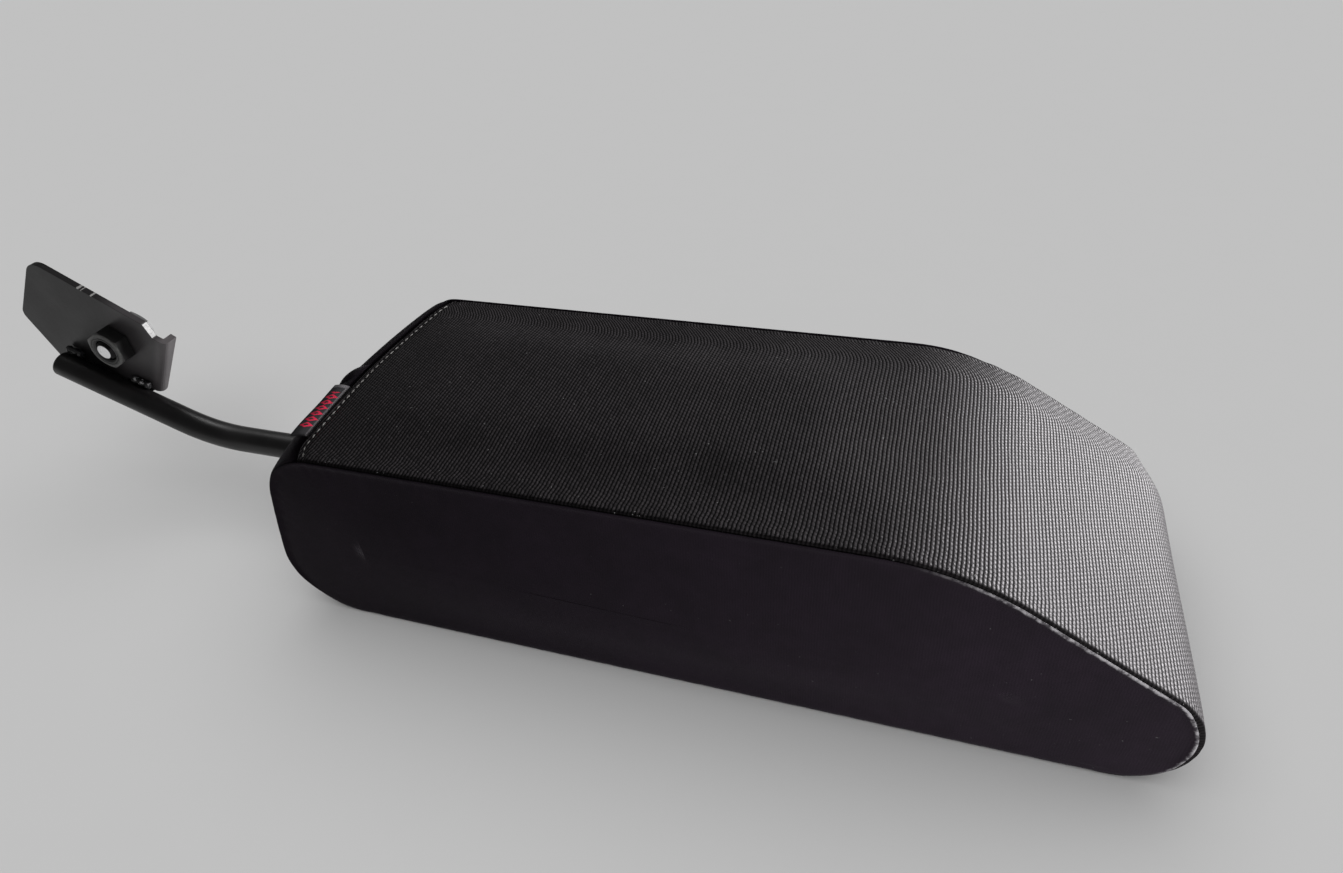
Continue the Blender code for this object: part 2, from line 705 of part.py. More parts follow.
def make_label_tab(parts, woven):
    """A folded woven tab that stands out of the rear seam, and hangs down a little to the rear."""
    tab = box("label_tab", (-LABEL_DEPTH, -LABEL_LENGTH / 2, 0), (0, LABEL_LENGTH / 2, LABEL_THICKNESS))
    edge = Vector((TOP_SEAM_X - LABEL_SET_BACK, LABEL_CENTRE_Y, PAD_HEIGHT + GAP))
    tab.location = edge + Matrix.Rotation(-LABEL_TILT, 3, "Y") @ tab.location
    tab.rotation_euler = (0, -LABEL_TILT, 0)
    return finish(tab, parts, woven)


# ---------------------------------------------------------------- moving arm

def make_pivot_empty(arm, parts):
    """The arm turns about the bolt: everything but the bolt and its washers hangs on this empty."""
    empty = bpy.data.objects.new("arm_pivot", None)
    empty.location = (PIVOT_X, 0, PIVOT_Z)
    arm.objects.link(empty)
    bpy.context.view_layer.update()
    for thing in list(parts.objects):
        if thing.name in ("pivot_bolt", "spring_washer", "flat_washer"):
            continue
        thing.parent = empty
        thing.matrix_parent_inverse = empty.matrix_world.inverted()
    return empty


def main():
    clear_scene()
    parts = make_collection("seat_armrest")
    cutters = make_collection("cutters")
    guides = make_collection("guides")

    paint = make_material("black_paint", (0.012, 0.012, 0.014), 0.28)
    zinc = make_material("bright_zinc", (0.62, 0.63, 0.64), 0.28, 1.0)
    steel = make_material("plain_steel", (0.30, 0.30, 0.31), 0.45, 1.0)
    wood = make_material("plywood", (0.52, 0.36, 0.20), 0.70)
    foam = make_material("foam", (0.78, 0.72, 0.52), 0.95)
    ribbed = make_material("ribbed_fabric", (0.020, 0.019, 0.020), 0.90)
    plain = make_material("plain_fabric", (0.012, 0.011, 0.013), 0.85)
    woven = make_material("woven_label", (0.10, 0.10, 0.11), 0.80)

    make_arm_rod(parts, paint)
    make_bracket_plate(parts, cutters, paint)
    make_weld_nut(parts, cutters, paint)
    make_rod_welds(parts, paint)
    make_pivot_bolt(parts, zinc)
    make_spring_washer(parts, cutters, zinc)
    make_flat_washer(parts, zinc)

    make_mount_strip(parts, cutters, steel)
    make_strip_welds(parts, steel)
    make_core_board(parts, cutters, wood)
    make_core_screws(parts, steel)
    make_foam_lower(parts, foam)
    make_foam_upper(parts, cutters, foam)

    make_cover(parts, cutters, ribbed, plain)
    make_closure_flap(parts, plain)
    make_label_tab(parts, woven)
    make_pivot_empty(guides, parts)


main()
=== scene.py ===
"""Seat armrest: the looks. A sewn fabric pad on a black painted steel arm with a bracket and bolt.

Metres, +X towards the nose of the pad, +Z up, Y across; the underside of the pad is at Z = 0.
"""
import math

import bmesh
import bpy
import numpy as np
from mathutils import Matrix, Vector
from mathutils.bvhtree import BVHTree


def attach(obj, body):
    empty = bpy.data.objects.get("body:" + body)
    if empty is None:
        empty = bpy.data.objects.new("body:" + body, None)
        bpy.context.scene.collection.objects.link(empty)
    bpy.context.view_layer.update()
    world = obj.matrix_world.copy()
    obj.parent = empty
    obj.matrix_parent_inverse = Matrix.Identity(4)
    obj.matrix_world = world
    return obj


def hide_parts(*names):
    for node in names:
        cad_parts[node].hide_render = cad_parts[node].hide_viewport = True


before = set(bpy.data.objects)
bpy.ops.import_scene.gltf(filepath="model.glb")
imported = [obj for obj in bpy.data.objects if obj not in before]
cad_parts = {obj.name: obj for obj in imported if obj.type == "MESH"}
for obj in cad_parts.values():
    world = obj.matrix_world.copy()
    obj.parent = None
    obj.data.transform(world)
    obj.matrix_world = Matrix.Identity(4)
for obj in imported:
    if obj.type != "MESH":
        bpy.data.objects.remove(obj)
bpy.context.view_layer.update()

MM = 0.001

# Pad, as the CAD has it
PAD_HALF = 0.059
PAD_HEIGHT = 0.083
NOSE_X = 0.2549
REAR_X = -0.0804
REAR_LEAN = math.radians(9.3)
SLOPE_ANGLE = math.radians(31)
SLOPE_START_X = 0.179
NOSE_RADIUS = 0.0234
SLOPE_RADIUS = 0.092
REAR_BOTTOM_RADIUS = 0.026
NOSE_SEAM_X = 0.227
HEEL_SEAM_X = -0.044
MIDDLE_X = 0.09

# How the sewn pad differs from the plain block
REAR_TOP_RADIUS = (0.016, 0.024)  # at mid-width and at the sides
REAR_SWELL = (0.0014, 0.0008)  # at the sides, and so much more at mid-width
REAR_ROUND = 0.0015  # and the rear is round from top to bottom by this much
REAR_TOP_IN = 0.0038  # the top of the near rear corner lies further in
NOSE_SWELL = 0.0009  # the nose stands this much further out than the block
NOSE_FAR_TRIM = 0.006  # and its far corner is rounded by this much in plan
FILL_INSET = 0.0055  # the fill before it is blown up
FILL_VOXEL = 0.005
PRESSURE = 4.0
LAST_FRAME = 20
SWELL_CAP = 0.0055
RAY_START = 0.012  # a ray that looks for the fill or the cover starts this far outside

# Cover panels
PANEL_STEP = 0.002  # from one row to the next
STRIP_GAIN = 0.45  # how much of the fill's swelling shows in each panel
REAR_GAIN = 0.35
SIDE_GAIN = 0.55
SEAM_PULL = 0.00022  # the thread draws the cloth in by up to this much
RIDGE_PULL = 0.0003
PULL_PITCH = 0.0075
PULL_WAVES = 4
PULL_REACH = (0.0012, 0.006)  # in full up to the first distance from the side, none past the second
HEM_WIDTH = 0.0022  # where the rear panels turn in at the slit
HEM_DEPTH = 0.0016
GATHER_REACH = 0.017  # the rear panels are gathered round the rod this far from its axis
GATHER_FROM_X = -0.06
NOSE_SET_IN = 0.0013  # round the nose the side's ridge lies this much further in
FAR_LIFT = 0.0008  # on the far side's flat part it stands this much higher
FAR_DROP = 0.0007  # and along the far side's slope this much lower
SPINE = np.array([[-0.034, 0.0405], [0.196, 0.0335]])  # the side panels' rows run in to this line

# Top-stitch
STITCH_BACK = -0.0547  # where it lies at mid-width
STITCH_BOW = 0.0042  # its ends lie this much further to the nose
STITCH_HOOK = 0.0034  # and turn towards the nose by this much
SEAM_BEHIND_STITCH = 0.0034
STITCH_FROM_SIDE = 0.0022
STITCH_PITCH = 0.0036
STITCH_SIDES = 8
STITCH_RINGS = 7
THREAD_RADIUS = 0.00036

# Flap over the rear slit
FLAP_HALF = 0.0068
FLAP_CENTRE_Y = -0.0028
FLAP_LENGTH = 0.049
FLAP_PUFF = 0.002

# Woven tab in the rear seam
TAB_LENGTH = 0.0315
TAB_DEPTH = 0.0058
TAB_CENTRE_Y = -0.0285
TAB_SKEW = 0.0025  # its free edge lies this much further to the near side
TAB_RISE = 0.0016
TAB_HALF_THICKNESS = 0.00045
LOZENGE_PITCH = 0.0036

# Arm and bracket
PIVOT = Vector((-0.2028, 0.0, 0.0743))
ROD_ANGLE = math.radians(22.2)
ROD_Z = 0.031
ROD_RADIUS = 0.006
ROD_FRONT_X = 0.1
ROD_BEND_X = -0.1434
ROD_BEND_RADIUS = 0.09
ROD_REAR_X = -0.2387
ROD_SIDES = 48
ROD_FRONT_END = ((0.0, 0.0), (0.0, 0.85), (0.0006, 1.0))  # rings: shift along the rod, share of its radius
ROD_REAR_END = ((-0.0009, 1.0), (-0.0003, 0.95), (0.0, 0.85), (0.0, 0.0))
NUT_FLAT = 0.0085
NUT_LOW_Y = -0.0015
NUT_HIGH_Y = 0.006
NUT_BORE = 0.0053
NUT_COUNTERSINK = 0.0008
NUT_SIDES = 120
# further out than this the bolt is painted dark, painted shade in the nut's bore
BOLT_TIP_BRIGHT = 0.0032  # bare metal at the middle of the bolt's tip
CHIPS = ((-0.017, 0.0233, 0.0007), (-0.0153, 0.023, 0.0004), (-0.0104, 0.0224, 0.0006))
FLANGE_LOW = (0.0166, -0.0215)  # the line along which the flange is folded, in the bracket's plane
FLANGE_HIGH = (0.0228, 0.013)

# Cloth
RIB_PITCH = 0.00136
BEAD_PITCH = 0.00174
BEAD_STEP = 0.57  # each rib's beads stand this share of a pitch further over
RIB_DARK = 0.0008
# the rib tops' colour, painted light where they catch the light
RIB_TOP_PAINTED_LIGHT = 0.034
RIB_ROUGHNESS = 0.44
RIB_SPECULAR = 0.36
RIB_SHEEN = 0.02
PLAIN_DARK = 0.0015
PLAIN_LIGHT = 0.0075
PLAIN_SHEEN = 0.1
# light fluff on the near side panel's ridge: a painted highlight where the key lamp falls
FUZZ_PAINTED_HIGHLIGHT = 0.19
PURPLE = (1.26, 0.76, 1.36)
BROWN = (1.14, 0.95, 0.96)

# Studio
WORLD_LEVEL = 0.13
FLOOR_SUN = 2.36
FLOOR_SUN_ANGLE = math.radians(100)
KEY_AIM = Vector((0.2, 0.0, 0.06))
KEY_AZIMUTH = math.radians(39)
KEY_ELEVATION = math.radians(10)
KEY_DISTANCE = 1.6
KEY_POWER = 65.0
ROD_TOP_POWER = 1.4
NOSE_FILL_POWER = 0.58
NOSE_FILL_SPREAD = math.radians(65)

# Camera, worked out from the photo's straight edges
CAMERA_PLACE = (0.1642, -0.2399, 0.2683)
CAMERA_RIGHT = Vector((0.9508, 0.3006, -0.0754))
CAMERA_UP = Vector((-0.1291, 0.6055, 0.7853))
CAMERA_FORWARD = Vector((-0.2817, 0.7369, -0.6145))
CAMERA_LENS = 23.03


# ---- Mesh helpers

def smoothstep(low, high, value):
    t = np.clip((value - low) / (high - low), 0.0, 1.0)
    return t * t * (3 - 2 * t)


def together(*values):
    """Grids of values as one grid of points."""
    return np.stack(np.broadcast_arrays(*values), axis=-1)


def in_space(xz, y):
    """Points or directions in the outline's plane, as points in space at y."""
    return together(xz[..., 0], y, xz[..., 1])


def ring_points(centre, sideways, up, radius, sides):
    angles = [2 * math.pi * side / sides for side in range(sides)]
    return [centre + (sideways * math.cos(angle) + up * math.sin(angle)) * radius for angle in angles]


def new_object(name, data):
    thing = bpy.data.objects.new(name, data)
    bpy.context.scene.collection.objects.link(thing)
    return thing


def mesh_object(name, points, faces, material, **attributes):
    mesh = bpy.data.meshes.new(name)
    mesh.from_pydata([tuple(map(float, point)) for point in points], [], faces)
    for key, values in attributes.items():
        layer = mesh.attributes.new(key, "FLOAT_VECTOR", "POINT")
        layer.data.foreach_set("vector", np.asarray(values, np.float32).ravel())
    mesh.validate()
    mesh.materials.append(material)
    mesh.shade_smooth()
    return new_object(name, mesh)


def grid_faces(rows, columns, round_rows=False, round_columns=False, first=0):
    """Quads of a grid of points, closed along its rows or its columns if asked."""
    faces = []
    for row in range(rows if round_rows else rows - 1):
        for column in range(columns if round_columns else columns - 1):
            here = first + row * columns
            after = first + (row + 1) % rows * columns
            beside = (column + 1) % columns
            faces.append((here + column, here + beside, after + beside, after + column))
    return faces


def tube_faces(rings, sides, first=0):
    """Faces of a tube of rings of points, closed at both ends."""
    last = first + (rings - 1) * sides
    ends = [tuple(range(first, first + sides))[::-1], tuple(range(last, last + sides))]
    return grid_faces(rings, sides, round_columns=True, first=first) + ends


def turn_faces(thing, merge=0.0, from_pad=False):
    """Merge close points and face outwards. An open panel of the cover faces away from the pad's middle."""
    shape = bmesh.new()
    shape.from_mesh(thing.data)
    if merge:
        bmesh.ops.remove_doubles(shape, verts=shape.verts, dist=merge)
    bmesh.ops.recalc_face_normals(shape, faces=shape.faces)
    if from_pad:
        middle = Vector((MIDDLE_X, 0.0, 0.04))
        away = sum((face.calc_center_median() - middle).dot(face.normal) * face.calc_area()
                   for face in shape.faces)
        if away < 0:
            bmesh.ops.reverse_faces(shape, faces=shape.faces)
    shape.to_mesh(thing.data)
    shape.free()


def subdivide(thing):
    modifier = thing.modifiers.new("Smooth", "SUBSURF")
    modifier.levels = 1
    modifier.render_levels = 1
    modifier.boundary_smooth = "PRESERVE_CORNERS"


def two_sided(name, rows, columns, place, material, merge=0.0):
    """A thin solid, closed round its border: place(t, w) gives the points of its two faces, and the weave."""
    front, back, weave = zip(*(place(row / (rows - 1), column / (columns - 1))
                               for row in range(rows) for column in range(columns)))
    faces = grid_faces(rows, columns)
    back_at = rows * columns
    faces += [tuple(back_at + index for index in face[::-1]) for face in faces]
    ring = (list(range(columns - 1)) + list(range(columns - 1, back_at - 1, columns))
            + list(range(back_at - 1, back_at - columns, -1)) + list(range(back_at - columns, 0, -columns)))
    faces += [(a, b, back_at + b, back_at + a) for a, b in zip(ring, ring[1:] + ring[:1])]
    sheet = mesh_object(name, front + back, faces, material, weave=weave + weave)
    turn_faces(sheet, merge)
    return sheet


# ---- Material helpers

class Nodes:
    """A material, and a short way to write its nodes. Colours are red, green and blue."""

    def __init__(self, name):
        self.material = bpy.data.materials.new(name)
        self.material.use_nodes = True
        self.tree = self.material.node_tree
        self.shader = self.tree.nodes["Principled BSDF"]

    def put(self, socket, value):
        if isinstance(value, bpy.types.NodeSocket):
            self.tree.links.new(value, socket)
        elif socket.type == "RGBA":
            socket.default_value = (*value, 1.0)
        else:
            socket.default_value = value

    def fill(self, made, **values):
        """Set a node's sockets by name, with underscores for spaces."""
        for name, value in values.items():
            self.put(made.inputs[name.replace("_", " ")], value)
        return made

    def surface(self, **values):
        self.fill(self.shader, **values)
        return self.material

    def node(self, kind, values=(), **settings):
        made = self.tree.nodes.new("ShaderNode" + kind)
        for key, value in settings.items():
            setattr(made, key, value)
        for socket, value in zip(made.inputs, values):
            self.put(socket, value)
        return made

    def math(self, operation, *values):
        return self.node("Math", values, operation=operation).outputs[0]

    def add(self, *values):
        total = values[0]
        for value in values[1:]:
            total = self.math("ADD", total, value)
        return total

    def sub(self, a, b):
        return self.math("SUBTRACT", a, b)

    def mul(self, *values):
        total = values[0]
        for value in values[1:]:
            total = self.math("MULTIPLY", total, value)
        return total

    def div(self, a, b):
        return self.math("DIVIDE", a, b)

    def size(self, a, b):
        return self.math("SQRT", self.add(self.mul(a, a), self.mul(b, b)))

    def wave(self, value, pitch):
        return self.math("SINE", self.mul(value, 2 * math.pi / pitch))

    def ramp(self, value, low, high, to_low=0.0, to_high=1.0):
        values = (value, low, high, to_low, to_high)
        return self.node("MapRange", values, interpolation_type="SMOOTHSTEP").outputs[0]

    def fall(self, value, low, high):
        return self.ramp(value, low, high, 1.0, 0.0)

    def ease(self, noise, to_low, to_high):
        """The middle part of a noise, as a value from to_low to to_high."""
        return self.ramp(noise, 0.3, 0.7, to_low, to_high)

    def noise(self, scale, detail=2.0, roughness=0.5, vector=None):
        vector = self.place() if vector is None else vector
        values = {"Vector": vector, "Scale": scale, "Detail": detail, "Roughness": roughness}
        return self.fill(self.node("TexNoise"), **values).outputs["Fac"]

    def mix(self, factor, a, b):
        made = self.fill(self.node("Mix", data_type="RGBA"), Factor=factor)
        for socket, value in zip([s for s in made.inputs if s.type == "RGBA"], (a, b)):
            self.put(socket, value)
        return [s for s in made.outputs if s.type == "RGBA"][0]

    def attribute(self, name):
        return self.node("Attribute", attribute_name=name).outputs["Vector"]

    def place(self):
        return self.node("TexCoord").outputs["Object"]

    def parts(self, vector):
        return self.node("SeparateXYZ", (vector,)).outputs

    def vector(self, *values):
        return self.node("CombineXYZ", values).outputs[0]

    def from_pivot(self):
        """X and Z from the pivot's axis, and the world's Y."""
        x, y, z = self.parts(self.place())
        return self.sub(x, PIVOT.x), y, self.sub(z, PIVOT.z)

    def bump(self, height, strength, distance, normal=None):
        made = self.fill(self.node("Bump"), Strength=strength, Distance=distance, Height=height)
        if normal is not None:
            self.put(made.inputs["Normal"], normal)
        return made.outputs[0]


def grey(level, tint=(1.0, 1.0, 1.0)):
    return tuple(level * part for part in tint)


# ---- Materials

def ribbed_fabric():
    """Ribs across the pad, each one a row of beads of yarn.

    'weave' holds the length along the cover, the length across it and the distance from the side.
    """
    n = Nodes("ribbed_fabric")
    weave = n.attribute("weave")
    along, across, edge = n.parts(weave)
    rib_at = n.add(n.div(along, RIB_PITCH), n.mul(n.noise(60.0, 1.0, vector=weave), 0.35))
    rib_number = n.math("FLOOR", rib_at)
    rib = n.math("SINE", n.mul(n.math("FRACT", rib_at), math.pi))
    bead_at = n.add(n.div(across, BEAD_PITCH), n.mul(rib_number, BEAD_STEP),
                    n.mul(n.noise(75.0, 1.0, vector=weave), 0.4))
    bead = n.math("ABSOLUTE", n.math("SINE", n.mul(bead_at, math.pi)))
    # Near the side the strip goes down into its seam: the ribs flatten there, and their colour goes dark,
    # painted shade in the groove
    raised = n.ramp(edge, 0.0008, 0.002, 0.15, 1.0)
    height = n.mul(n.math("POWER", rib, 0.8), n.add(n.mul(bead, 0.5), 0.5), raised)
    fibre = n.noise(2600.0, 2.0, 0.7)
    bead_number = n.vector(rib_number, n.math("FLOOR", bead_at), 0.0)
    yarn = n.node("TexWhiteNoise", (bead_number,), noise_dimensions="3D").outputs["Value"]
    patch = n.noise(26.0, 3.0, 0.6)
    # Painted light: the tops of ribs and beads are painted lighter and the hollows darker, on top of a random
    # tone per bead and in patches
    lift = n.ramp(n.mul(rib, n.add(n.mul(bead, 0.15), 0.85)), 0.45, 0.98)
    lift = n.mul(lift, n.add(n.mul(yarn, 0.75), 0.45), raised, n.ease(patch, 0.75, 1.2))
    colour = n.mix(lift, grey(RIB_DARK, BROWN), grey(RIB_TOP_PAINTED_LIGHT, (1.08, 0.95, 1.02)))
    lint = n.ramp(n.noise(900.0, 1.0), 0.75, 0.79)
    return n.surface(
        Base_Color=n.mix(n.mul(lint, 0.6), colour, grey(0.22)),
        Roughness=n.ramp(height, 0.0, 1.0, 0.8, RIB_ROUGHNESS),
        Specular_IOR_Level=n.ramp(height, 0.1, 0.8, 0.06, RIB_SPECULAR),
        Specular_Tint=(1.0, 0.93, 1.0), Sheen_Weight=RIB_SHEEN, Sheen_Roughness=0.45,
        Sheen_Tint=(0.94, 0.88, 0.95),
        Normal=n.bump(height, 0.46, 0.0005, n.bump(fibre, 0.35, 0.0003)))


def plain_fabric():
    """A fine plain knit with a faint upright rib and a soft nap.

    'fuzz' says how much light fluff, a painted highlight, lies along a side panel's ridge where it faces the
    key lamp, and 'weave' ends with the depth from the panel's rim.
    """
    n = Nodes("plain_fabric")
    weave = n.attribute("weave")
    along, across, depth = n.parts(weave)
    uneven = n.mul(n.noise(160.0, 1.0, vector=weave), 5.0)
    rib = n.math("SINE", n.add(n.mul(along, 2 * math.pi / 0.0009), uneven))
    knit = n.add(n.mul(rib, 0.1), n.mul(rib, n.wave(across, 0.0007), 0.16))
    height = n.add(knit, 0.5, n.mul(n.noise(1900.0, 3.0, 0.75), 0.9))
    patch = n.noise(34.0, 3.0, 0.6)
    nap = n.noise(150.0, 2.0, 0.6)
    shade = n.mul(n.ramp(height, 0.5, 1.4, 0.7, 1.25), n.ramp(patch, 0.25, 0.75, 0.8, 1.25),
                  n.ease(nap, 0.88, 1.12))
    base = n.mix(n.mul(shade, 0.5), grey(PLAIN_DARK, PURPLE), grey(PLAIN_LIGHT, PURPLE))
    lint = n.ramp(n.noise(900.0, 1.0), 0.79, 0.82)
    colour = n.mix(n.mul(lint, 0.35), base, grey(0.12))
    # Painted highlight: light fluff laid on the ridge only where the ridge faces the key lamp
    painted_light_share = n.parts(n.attribute("fuzz"))[0]
    tuft = n.noise(700.0, 2.0, 0.7)
    edge = n.add(depth, n.mul(n.sub(tuft, 0.5), 0.0014))
    worn = n.noise(330.0, 3.0, 0.7)
    # the ridge's line of painted highlight, broken up by noise
    line = n.mul(n.ramp(edge, 0.0003, 0.0007), n.fall(edge, 0.001, 0.0021), painted_light_share,
                 n.ramp(worn, 0.34, 0.62, 0.1, 1.0))
    return n.surface(
        Base_Color=n.mix(line, colour, grey(FUZZ_PAINTED_HIGHLIGHT, (1.02, 0.98, 1.03))),
        Roughness=n.ramp(height, 0.3, 1.6, 0.95, 0.78), Specular_IOR_Level=0.1,
        Sheen_Weight=PLAIN_SHEEN, Sheen_Roughness=0.3, Sheen_Tint=(0.92, 0.86, 0.95),
        Normal=n.bump(height, 0.45, 0.0003))


def foam_material():
    n = Nodes("foam")
    pits = n.fill(n.node("TexVoronoi", feature="F1"), Vector=n.place(), Scale=900.0).outputs["Distance"]
    patch = n.noise(30.0, 3.0)
    colour = n.mix(n.ramp(pits, 0.1, 0.6), (0.52, 0.44, 0.27), (0.78, 0.72, 0.52))
    return n.surface(
        Base_Color=n.mix(n.mul(patch, 0.3), colour, (0.62, 0.55, 0.36)),
        Roughness=n.ramp(pits, 0.0, 0.6, 1.0, 0.88), Normal=n.bump(pits, 0.5, 0.0005))


def bracket_marks(n, colour):
    """Painted light on the bracket, patchy on its flange and growing along its front towards the flange, and
    bare specks along its top edge.
    """
    x, _, z = n.from_pivot()
    cos = math.cos(ROD_ANGLE)
    sin = math.sin(ROD_ANGLE)
    u = n.add(n.mul(x, cos), n.mul(z, -sin))
    v = n.add(n.mul(x, sin), n.mul(z, cos))
    lean = (FLANGE_HIGH[0] - FLANGE_LOW[0]) / (FLANGE_HIGH[1] - FLANGE_LOW[1])
    fold = n.add(n.mul(n.sub(v, FLANGE_LOW[1]), lean), FLANGE_LOW[0])
    # Painted light: the flange is painted lighter in patches, and the plate lighter from the nut towards the
    # flange, for light they would catch
    patch = n.ease(n.noise(160.0, 3.0, 0.6), 0.7, 1.0)
    flange_painted_light = n.mul(n.ramp(n.sub(u, fold), -0.003, 0.0008), patch)
    colour = n.mix(flange_painted_light, colour, (0.088, 0.08, 0.083))
    colour = n.mix(n.ramp(u, -0.01, 0.004, 0.0, 0.55), colour, (0.06, 0.055, 0.058))
    ragged = n.mul(n.noise(1100.0, 2.0, 0.6), 1.1)
    bare = 0.0
    for chip_u, chip_v, half in CHIPS:
        reach = n.size(n.div(n.sub(u, chip_u), half), n.div(n.sub(v, chip_v), half * 0.7))
        bare = n.math("MAXIMUM", bare, n.fall(n.add(reach, ragged), 1.2, 1.45))
    n.surface(Metallic=n.mul(bare, 0.85))
    return n.mix(bare, colour, (0.62, 0.61, 0.6))


def black_paint(chipped=False):
    """Glossy black paint with orange peel and faint dust."""
    n = Nodes("black_paint_chipped" if chipped else "black_paint")
    peel = n.noise(420.0, 2.0, 0.5)
    slow = n.noise(60.0, 2.0, 0.5)
    dust = n.noise(1400.0, 2.0, 0.7)
    colour = n.mix(n.ramp(slow, 0.3, 0.7), (0.004, 0.0036, 0.0038), (0.007, 0.0062, 0.0066))
    colour = n.mix(n.ramp(dust, 0.6, 0.8, 0.0, 0.25), colour, (0.06, 0.058, 0.06))
    # the bracket gets bare chips, and painted light on its flange and front
    if chipped:
        colour = bracket_marks(n, colour)
    return n.surface(
        Base_Color=colour, Specular_IOR_Level=0.5 if chipped else 0.38,
        Roughness=n.add(n.ease(slow, 0.34, 0.44), n.ramp(dust, 0.5, 0.8, 0.0, 0.12)),
        Normal=n.bump(peel, 0.12, 0.0004))


def nut_paint():
    """Black paint on the nut; its face is painted lighter than its sides, painted light, and its rims lighter
    still, worn paint and painted highlight.
    """
    n = Nodes("black_paint_nut")
    x, y, z = n.from_pivot()
    radius = n.size(x, z)
    grain = n.noise(1200.0, 3.0, 0.6)
    # Painted light: the face is painted lighter than the dark sides
    front = n.fall(y, NUT_LOW_Y + 0.0004, NUT_LOW_Y + 0.0012)
    # the rims: worn paint and painted highlight
    rim = n.mul(n.ramp(radius, 0.0075, 0.008), n.fall(radius, 0.0086, 0.009))
    ring = n.mul(n.ramp(radius, 0.0069, 0.0071), n.fall(radius, 0.0073, 0.0075), 0.6)
    worn = n.mul(n.math("MAXIMUM", rim, ring), front, n.ease(grain, 0.5, 1.0))
    base = n.mix(front, (0.007, 0.0065, 0.0068), (0.028, 0.027, 0.027))
    return n.surface(
        Base_Color=n.mix(worn, base, (0.115, 0.115, 0.11)),
        Roughness=n.ease(grain, 0.35, 0.55), Normal=n.bump(grain, 0.15, 0.0003))


def weld_paint():
    """Paint over a rough bead, worn to bright metal on the crests of the one towards the pad."""
    n = Nodes("black_paint_weld")
    grain = n.noise(900.0, 3.0, 0.6)
    up = n.parts(n.node("NewGeometry").outputs["Normal"])[2]
    worn = n.mul(n.ramp(n.noise(520.0, 2.0, 0.6), 0.52, 0.6), n.ramp(up, -0.1, 0.5),
                 n.ramp(n.parts(n.place())[0], PIVOT.x - 0.004, PIVOT.x + 0.004))
    return n.surface(
        Base_Color=n.mix(worn, (0.012, 0.012, 0.013), (0.55, 0.54, 0.55)), Metallic=n.mul(worn, 0.8),
        Roughness=n.ease(grain, 0.25, 0.45), Normal=n.bump(grain, 0.4, 0.0004))


def bright_metal(name, colour, roughness, turned=False):
    """Plated or bare steel, scratched, or turned: with rings about the pivot, and painted shade on the bolt
    round the bright middle of its tip.
    """
    n = Nodes(name)
    height = grain = n.noise(700.0, 3.0, 0.6)
    stain = n.noise(240.0, 2.0, 0.6)
    colour = n.mix(n.ramp(stain, 0.45, 0.75, 0.0, 0.6), colour, grey(0.55, colour))
    if turned:
        x, y, z = n.from_pivot()
        radius = n.size(x, z)
        height = n.add(grain, n.mul(n.wave(radius, 0.00045), 0.15))
        # Painted shade: the bolt's chamfer and thread in the nut are painted dark round the middle of its tip
        tip_painted_shade = n.mul(n.ramp(radius, BOLT_TIP_BRIGHT, BOLT_TIP_BRIGHT + 0.0004),
                     n.fall(y, 0.003, 0.006))
        colour = n.mix(tip_painted_shade, colour, (0.02, 0.019, 0.02))
    return n.surface(
        Base_Color=colour, Metallic=1.0,
        Roughness=n.ease(grain, roughness * 0.8, roughness * 1.3),
        Normal=n.bump(height, 0.15, 0.0003))


def plywood():
    n = Nodes("plywood")
    x, y, z = n.parts(n.place())
    grain = n.noise(1.0, 4.0, 0.65, n.vector(n.mul(x, 14.0), n.mul(y, 160.0), n.mul(z, 160.0)))
    colour = n.mix(grain, (0.4, 0.25, 0.12), (0.62, 0.44, 0.26))
    plies = n.ramp(n.wave(z, 0.0028), 0.2, 0.9, 0.0, 0.35)
    return n.surface(
        Base_Color=n.mix(plies, colour, (0.24, 0.14, 0.07)),
        Roughness=n.ramp(grain, 0.2, 0.8, 0.6, 0.8), Normal=n.bump(grain, 0.2, 0.0003))


def thread_material():
    """Light twisted sewing thread."""
    n = Nodes("stitch_thread")
    x, y, z = n.parts(n.place())
    twist = n.wave(n.add(x, n.mul(y, 2.0), z), 0.0009)
    fuzz = n.noise(1500.0, 2.0, 0.7)
    soil = n.noise(90.0, 2.0, 0.6)
    colour = n.mix(n.ramp(twist, -0.6, 0.8), (0.13, 0.125, 0.12), (0.33, 0.32, 0.31))
    return n.surface(
        Base_Color=n.mix(n.ramp(soil, 0.5, 0.75, 0.0, 0.5), colour, (0.07, 0.066, 0.064)),
        Roughness=n.ease(fuzz, 0.7, 0.9), Normal=n.bump(n.add(twist, fuzz), 0.5, 0.0002))


